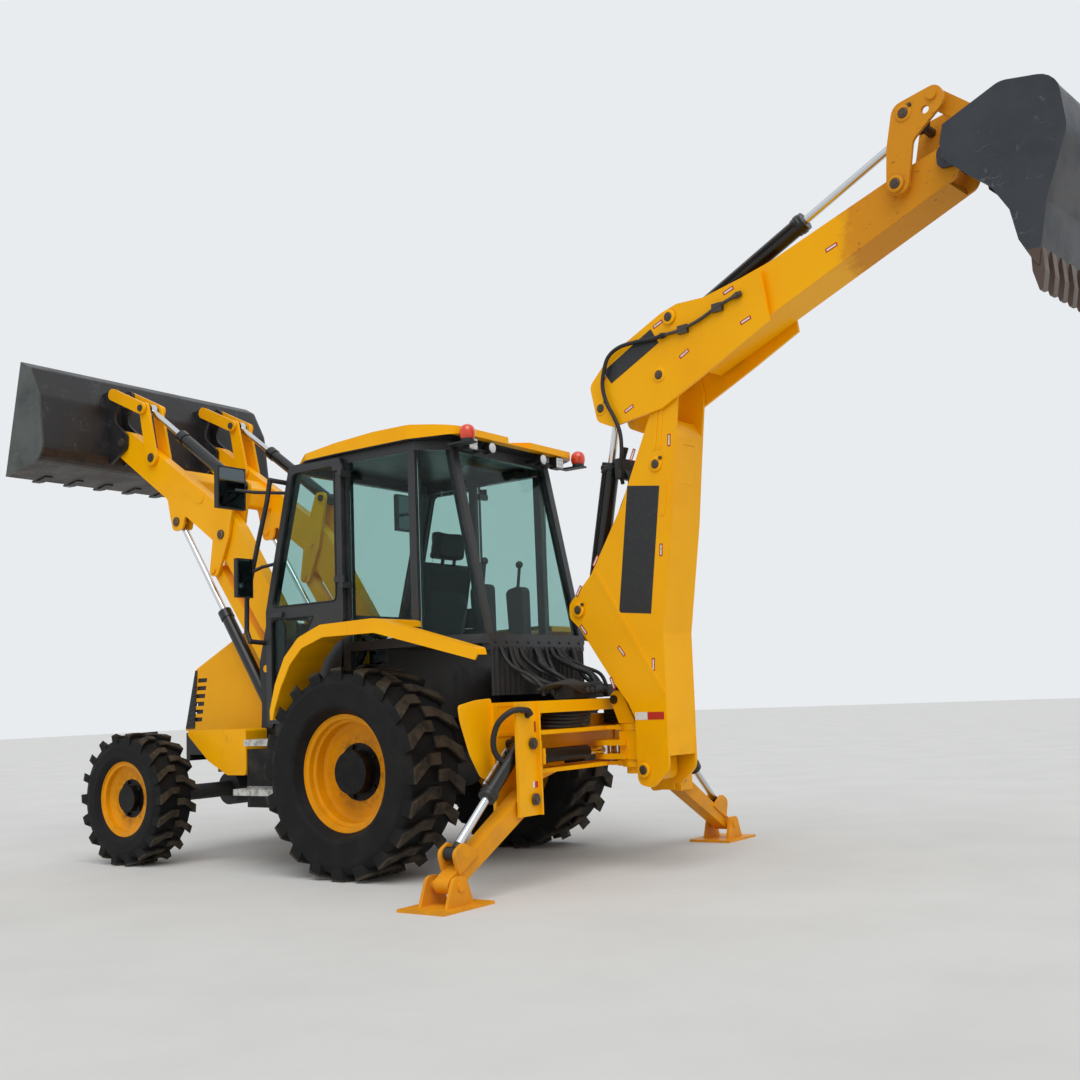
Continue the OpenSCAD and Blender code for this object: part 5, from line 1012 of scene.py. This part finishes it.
# %% Lamps and beacons
DOME = [(0.0405, 0.022), (0.046, 0.028), (0.050, 0.045), (0.051, 0.062), (0.049, 0.080), (0.043, 0.097),
        (0.032, 0.109), (0.017, 0.116), (0.0005, 0.1175)]
LED = [(0.011, 0.0), (0.011, 0.003), (0.008, 0.006), (0.0005, 0.0075)]
BOWL = [(0.034, 0.0), (0.034, 0.003), (0.026, 0.009), (0.012, 0.012), (0.0005, 0.0125)]
BEACON_AT = (-755, 630, 2705)
LAMP_Z, SQUARE_LAMP_Y, ROUND_LAMP_Y = 2727, 490, 290
for side, word in SIDES:
    put("beacon_dome_" + word, [turned(DOME, mach(np.multiply(BEACON_AT, [1, side, 1])), UP, 32)], BEACON,
        "machine")
    dots = [turned(LED, mach([-691.5, side * SQUARE_LAMP_Y + dy, LAMP_Z + dz]), (-1, 0, 0), 12)
            for dy in (-26, 0, 26) for dz in (-24, 0, 24)]
    face = facing(oblong(-40, 40, -36, 36, 8) + [side * SQUARE_LAMP_Y, LAMP_Z], -690.2)
    put("work_lamp_face_" + word, [plate(face, (-0.0015, 0, 0))], WHITE, "machine")
    put("work_lamp_lenses_" + word, dots, LENS, "machine")
    bowl = turned(BOWL, mach([-690.5, side * ROUND_LAMP_Y, LAMP_Z]), (-1, 0, 0), 28)
    put("round_lamp_lens_" + word, [bowl], LENS, "machine")
    low = plate(facing(oblong(890, 1010, 1850, 2100, 20), 988.5, side), (0.002, 0, 0))
    high = plate(facing(oblong(812, 1038, 2492, 2768, 24), 1148.5, side), (0.002, 0, 0))
    put("mirror_glass_" + word, [low, high], MIRROR, "machine")
print("lamps", 4, "beacons", 2, "mirrors", 4)

# %% [markdown]
# ## Strip under the rear window
# A dark pressed strip closes the cab under its rear window, with a row of button-head bolts.

# %% Rear window trim
BUTTON = [(0.010, -0.003), (0.010, 0.003), (0.006, 0.007), (0.0005, 0.008)]
bolts = [turned(BUTTON, mach([-801, y, 1438]), (-1, 0, 0), 12) for y in np.linspace(-470, 470, 9)]
put("sill_bolts", bolts, PLASTIC, "machine")
print("sill bolts", len(bolts))

# %% [markdown]
# ## Loader arm details
# The pins have collars and bolt heads on both outer sides, and a red safety strut is clipped beside the
# level link on the left. It moves with that link.

# %% Loader pins
PIN_HEAD = [(0.036, -0.004), (0.036, 0.006), (0.026, 0.008), (0.025, 0.014), (0.010, 0.015)]
LOADER_PINS = {"machine": [((1154, 1626), 545), ((1241, 1362), 413)],
               "loader_arms": [((1729, 2395), 545), ((2290, 2560), 515), ((2570, 3110), 545),
                               ((2950, 3290), 545)]}
for body, pins in LOADER_PINS.items():
    heads = [turned(PIN_HEAD, mach([x, side * y, z]), (0, side, 0), 24)
             for (x, z), y in pins for side in (1, -1)]
    put("loader_pin_heads_" + body, heads, PIN_STEEL, body)
strut = mach([(1805, 428, 2105), (1440, 428, 1560)])
feet = [clamp(end, (0, 1, 0), (1, 0, 1), (0.05, 0.07, 0.04)) for end in strut]
put("safety_strut", [bar(strut, 0.017, 16)] + feet, STRUT_RED, "level_links")
print("strut", round(float(np.linalg.norm(strut[0] - strut[1])), 3), "m")

# %% [markdown]
# ## Bonnet grille and painted shade sheets
# The bonnet is one sheet with louvres. A moulded grille with thin ribs closes its front edge on each side,
# and dark sheets inside it stop the eye from looking through the louvres and the front slots. They are
# painted shade: flat black standing for the unlit engine bay behind them.

# %% Bonnet grille and painted shade sheets
GRILLE_Y, RIB_Y, PAINTED_SHADE_SHEET_Y = 359.5, 364, 350
RIB_FOOT_Z, RIB_PITCH = 945, 36
GRILLE = rounded([(2234, 1392), (2258, 1396), (2376, 945), (2268, 945)], 10)
# Outline (x, z) in machine mm of the flat black sheet of painted shade behind the louvres.
PAINTED_SHADE_SHEET = np.array([(2095, 955), (2262, 955), (2225, 1350), (2095, 1350)])


def along_side(outline, y):
    """An outline (x, z) laid square to Y at the place y, in row metres."""
    return mach(np.column_stack([outline[:, 0], np.full(len(outline), y), outline[:, 1]]))


for side, word in SIDES:
    grille = [plate(along_side(GRILLE, side * GRILLE_Y), (0, side * 0.005, 0))]
    for k in range(11):
        z = 985 + RIB_PITCH * k
        x0, x1 = 2276 - 0.078 * (z - RIB_FOOT_Z), 2364 - 0.262 * (z - RIB_FOOT_Z)
        grille.append(bar(mach([(x0, side * RIB_Y, z), (x1, side * RIB_Y, z - 8)]), 0.005, 8))
    put("bonnet_grille_" + word, grille, PLASTIC, "bonnet")
    # A flat black sheet inside the bonnet's side: painted shade for the engine bay behind the louvres.
    shade_sheet = plate(along_side(PAINTED_SHADE_SHEET, side * PAINTED_SHADE_SHEET_Y), (0, -side * 0.003, 0))
    put("bonnet_painted_shade_sheet_" + word, [shade_sheet], FRAME_BLACK, "bonnet")
# A flat black sheet behind the front slots: painted shade for the engine bay.
shade_screen = mach([(2330, -315, 945), (2330, 315, 945), (2225, 315, 1370), (2225, -315, 1370)])
put("bonnet_painted_shade_screen", [plate(shade_screen, (-0.004, 0, 0))], FRAME_BLACK, "bonnet")
print("bonnet pieces", 5)

# %% [markdown]
# ## Boom covers
# Three plates close the boom's rear side: one fills the opening behind the ram's eye, one closes the foot,
# and a folded one makes the throat under the elbow. They keep clear of the dipper over its whole swing.

# %% Boom covers
FILL, FOOT_T, WEB_HALF = 0.018, 0.012, 130
rear = arm([(489.8, -61.5, 2331), (489.8, 61.5, 2331), (517.6, 61.5, 2567), (517.6, -61.5, 2567)])
foot = arm([(344, -WEB_HALF, 700), (344, WEB_HALF, 700), (350, WEB_HALF, 905), (350, -WEB_HALF, 905)])
throat = np.array([(352, 2782), (400, 2750), (483, 2722), (527, 2640), (522.5, 2598), (517.5, 2598),
                   (521, 2638), (478, 2716), (398, 2744), (349, 2776)])
covers = [plate(rear, -ARM_U * FILL), plate(foot, -ARM_U * FOOT_T),
          plate(on_side(throat, -WEB_HALF), ARM_W * 2 * WEB_HALF / 1000)]
put("boom_covers", covers, YELLOW, "boom")
print("boom covers", len(covers))

# %% [markdown]
# ## Frame wings, curtain and rising hoses
# A yellow wing plate widens the rear frame beside each stabiliser. Behind the cab's floor hangs a folded
# rubber curtain, and hoses rise over it from the frame to the cab. No two lie alike, so small random
# shifts from a fixed seed move them.

# %% Wings, curtain and rising hoses
WING_X, WING_T = -1151.5, 0.012
WING = rounded([(984, 600), (1100, 640), (1190, 770), (1268, 960), (1282, 1048), (1130, 1074), (984, 1082)],
               24)
for side, word in SIDES:
    wing = plate(facing(WING, WING_X, side), (WING_T, 0, 0))
    put("frame_wing_" + word, [wing], YELLOW, "machine", bevel=0.002)
CURTAIN_X, CURTAIN_FOOT, CURTAIN_DROP = -800, 1100.0, 0.31
FOLD_PITCH, FOLD_DEPTH, CURTAIN_T = 52, 9, 6
across = np.linspace(-520, 520, 105)
wave = FOLD_DEPTH * np.sin(across / FOLD_PITCH * 2 * math.pi)
front = np.column_stack([CURTAIN_X + wave, across, np.full(len(across), CURTAIN_FOOT)])
sheet = mach(np.vstack([front, front[::-1] + [CURTAIN_T, 0, 0]]))
put("splash_curtain", [plate(sheet, (0, 0, CURTAIN_DROP))], HOSE, "machine")
draw = np.random.default_rng(5)
riser = []
for k in range(11):
    y = 430 - 80 * k + draw.uniform(-25, 25)
    sag, drift = draw.uniform(-45, 45), draw.uniform(-90, 90)
    way = [(-1140, y, 1085), (-1120, y + drift / 4, 1140 + sag / 3), (-1030, y + drift, 1190 + sag),
           (-920, y + drift * 0.7, 1240 + sag), (-850, y - drift / 3, 1320 + sag / 2),
           (-818, y - drift / 2, 1400)]
    riser.append(line(mach(way), 0.0125 + 0.003 * (k % 3), 10))
put("riser_hoses", riser, HOSE, "machine")
print("rising hoses", len(riser))

# %% [markdown]
# ## Floor and light
# A plain pale floor and an even studio sky. The world gives soft light from all round at a level where a
# colour renders about as written, one wide sun gives form, and glass and metal see the same pale backdrop.

# %% Floor
FLOOR_HALF = 60
floor_mat, shader, where = finish("pale_studio_floor", Roughness=0.9)
tone = blend(floor_mat, blotches(floor_mat, where, 900, 0.3, 0.8), "#D6D6D3", "#CFCFCC")
link(floor_mat, tone, shader, "Base Color")
floor = bpy.data.meshes.new("floor")
corners = [(-FLOOR_HALF, -FLOOR_HALF, 0), (FLOOR_HALF, -FLOOR_HALF, 0), (FLOOR_HALF, FLOOR_HALF, 0),
           (-FLOOR_HALF, FLOOR_HALF, 0)]
floor.from_pydata(corners, [], [(0, 1, 2, 3)])
floor.materials.append(floor_mat)
ground = bpy.data.objects.new("floor", floor)
bpy.context.scene.collection.objects.link(ground)

# %% World and sun
SKY, SKY_STRENGTH, BACKDROP = (0.95, 0.97, 1.0, 1.0), 0.62, ink("#E9ECEF")
SUN_STRENGTH, SUN_WIDTH, SUN_AIM = 1.5, math.radians(50), (0.55, -0.62, -1.15)
world = bpy.data.worlds.new("studio")
bpy.context.scene.world = world
world.use_nodes = True
world.node_tree.nodes.clear()
ray = add(world, "LightPath").outputs
shiny = maths(world, "MAXIMUM", ray["Is Glossy Ray"], ray["Is Transmission Ray"])
seen = maths(world, "MAXIMUM", ray["Is Camera Ray"], shiny)
dim = add(world, "Background", None, Color=SKY, Strength=SKY_STRENGTH)
bright = add(world, "Background", None, Color=BACKDROP, Strength=1.0)
mix = add(world, "MixShader", None, _0=seen, _1=dim.outputs[0], _2=bright.outputs[0])
add(world, "OutputWorld", None, Surface=mix.outputs[0])
sun = bpy.data.objects.new("wide_sun", bpy.data.lights.new("wide_sun", "SUN"))
sun.data.energy, sun.data.angle = SUN_STRENGTH, SUN_WIDTH
bpy.context.scene.collection.objects.link(sun)
sun.rotation_mode = "QUATERNION"
sun.rotation_quaternion = Vector(SUN_AIM).to_track_quat("-Z", "Y")
print("sun", SUN_STRENGTH, "sky", SKY_STRENGTH)
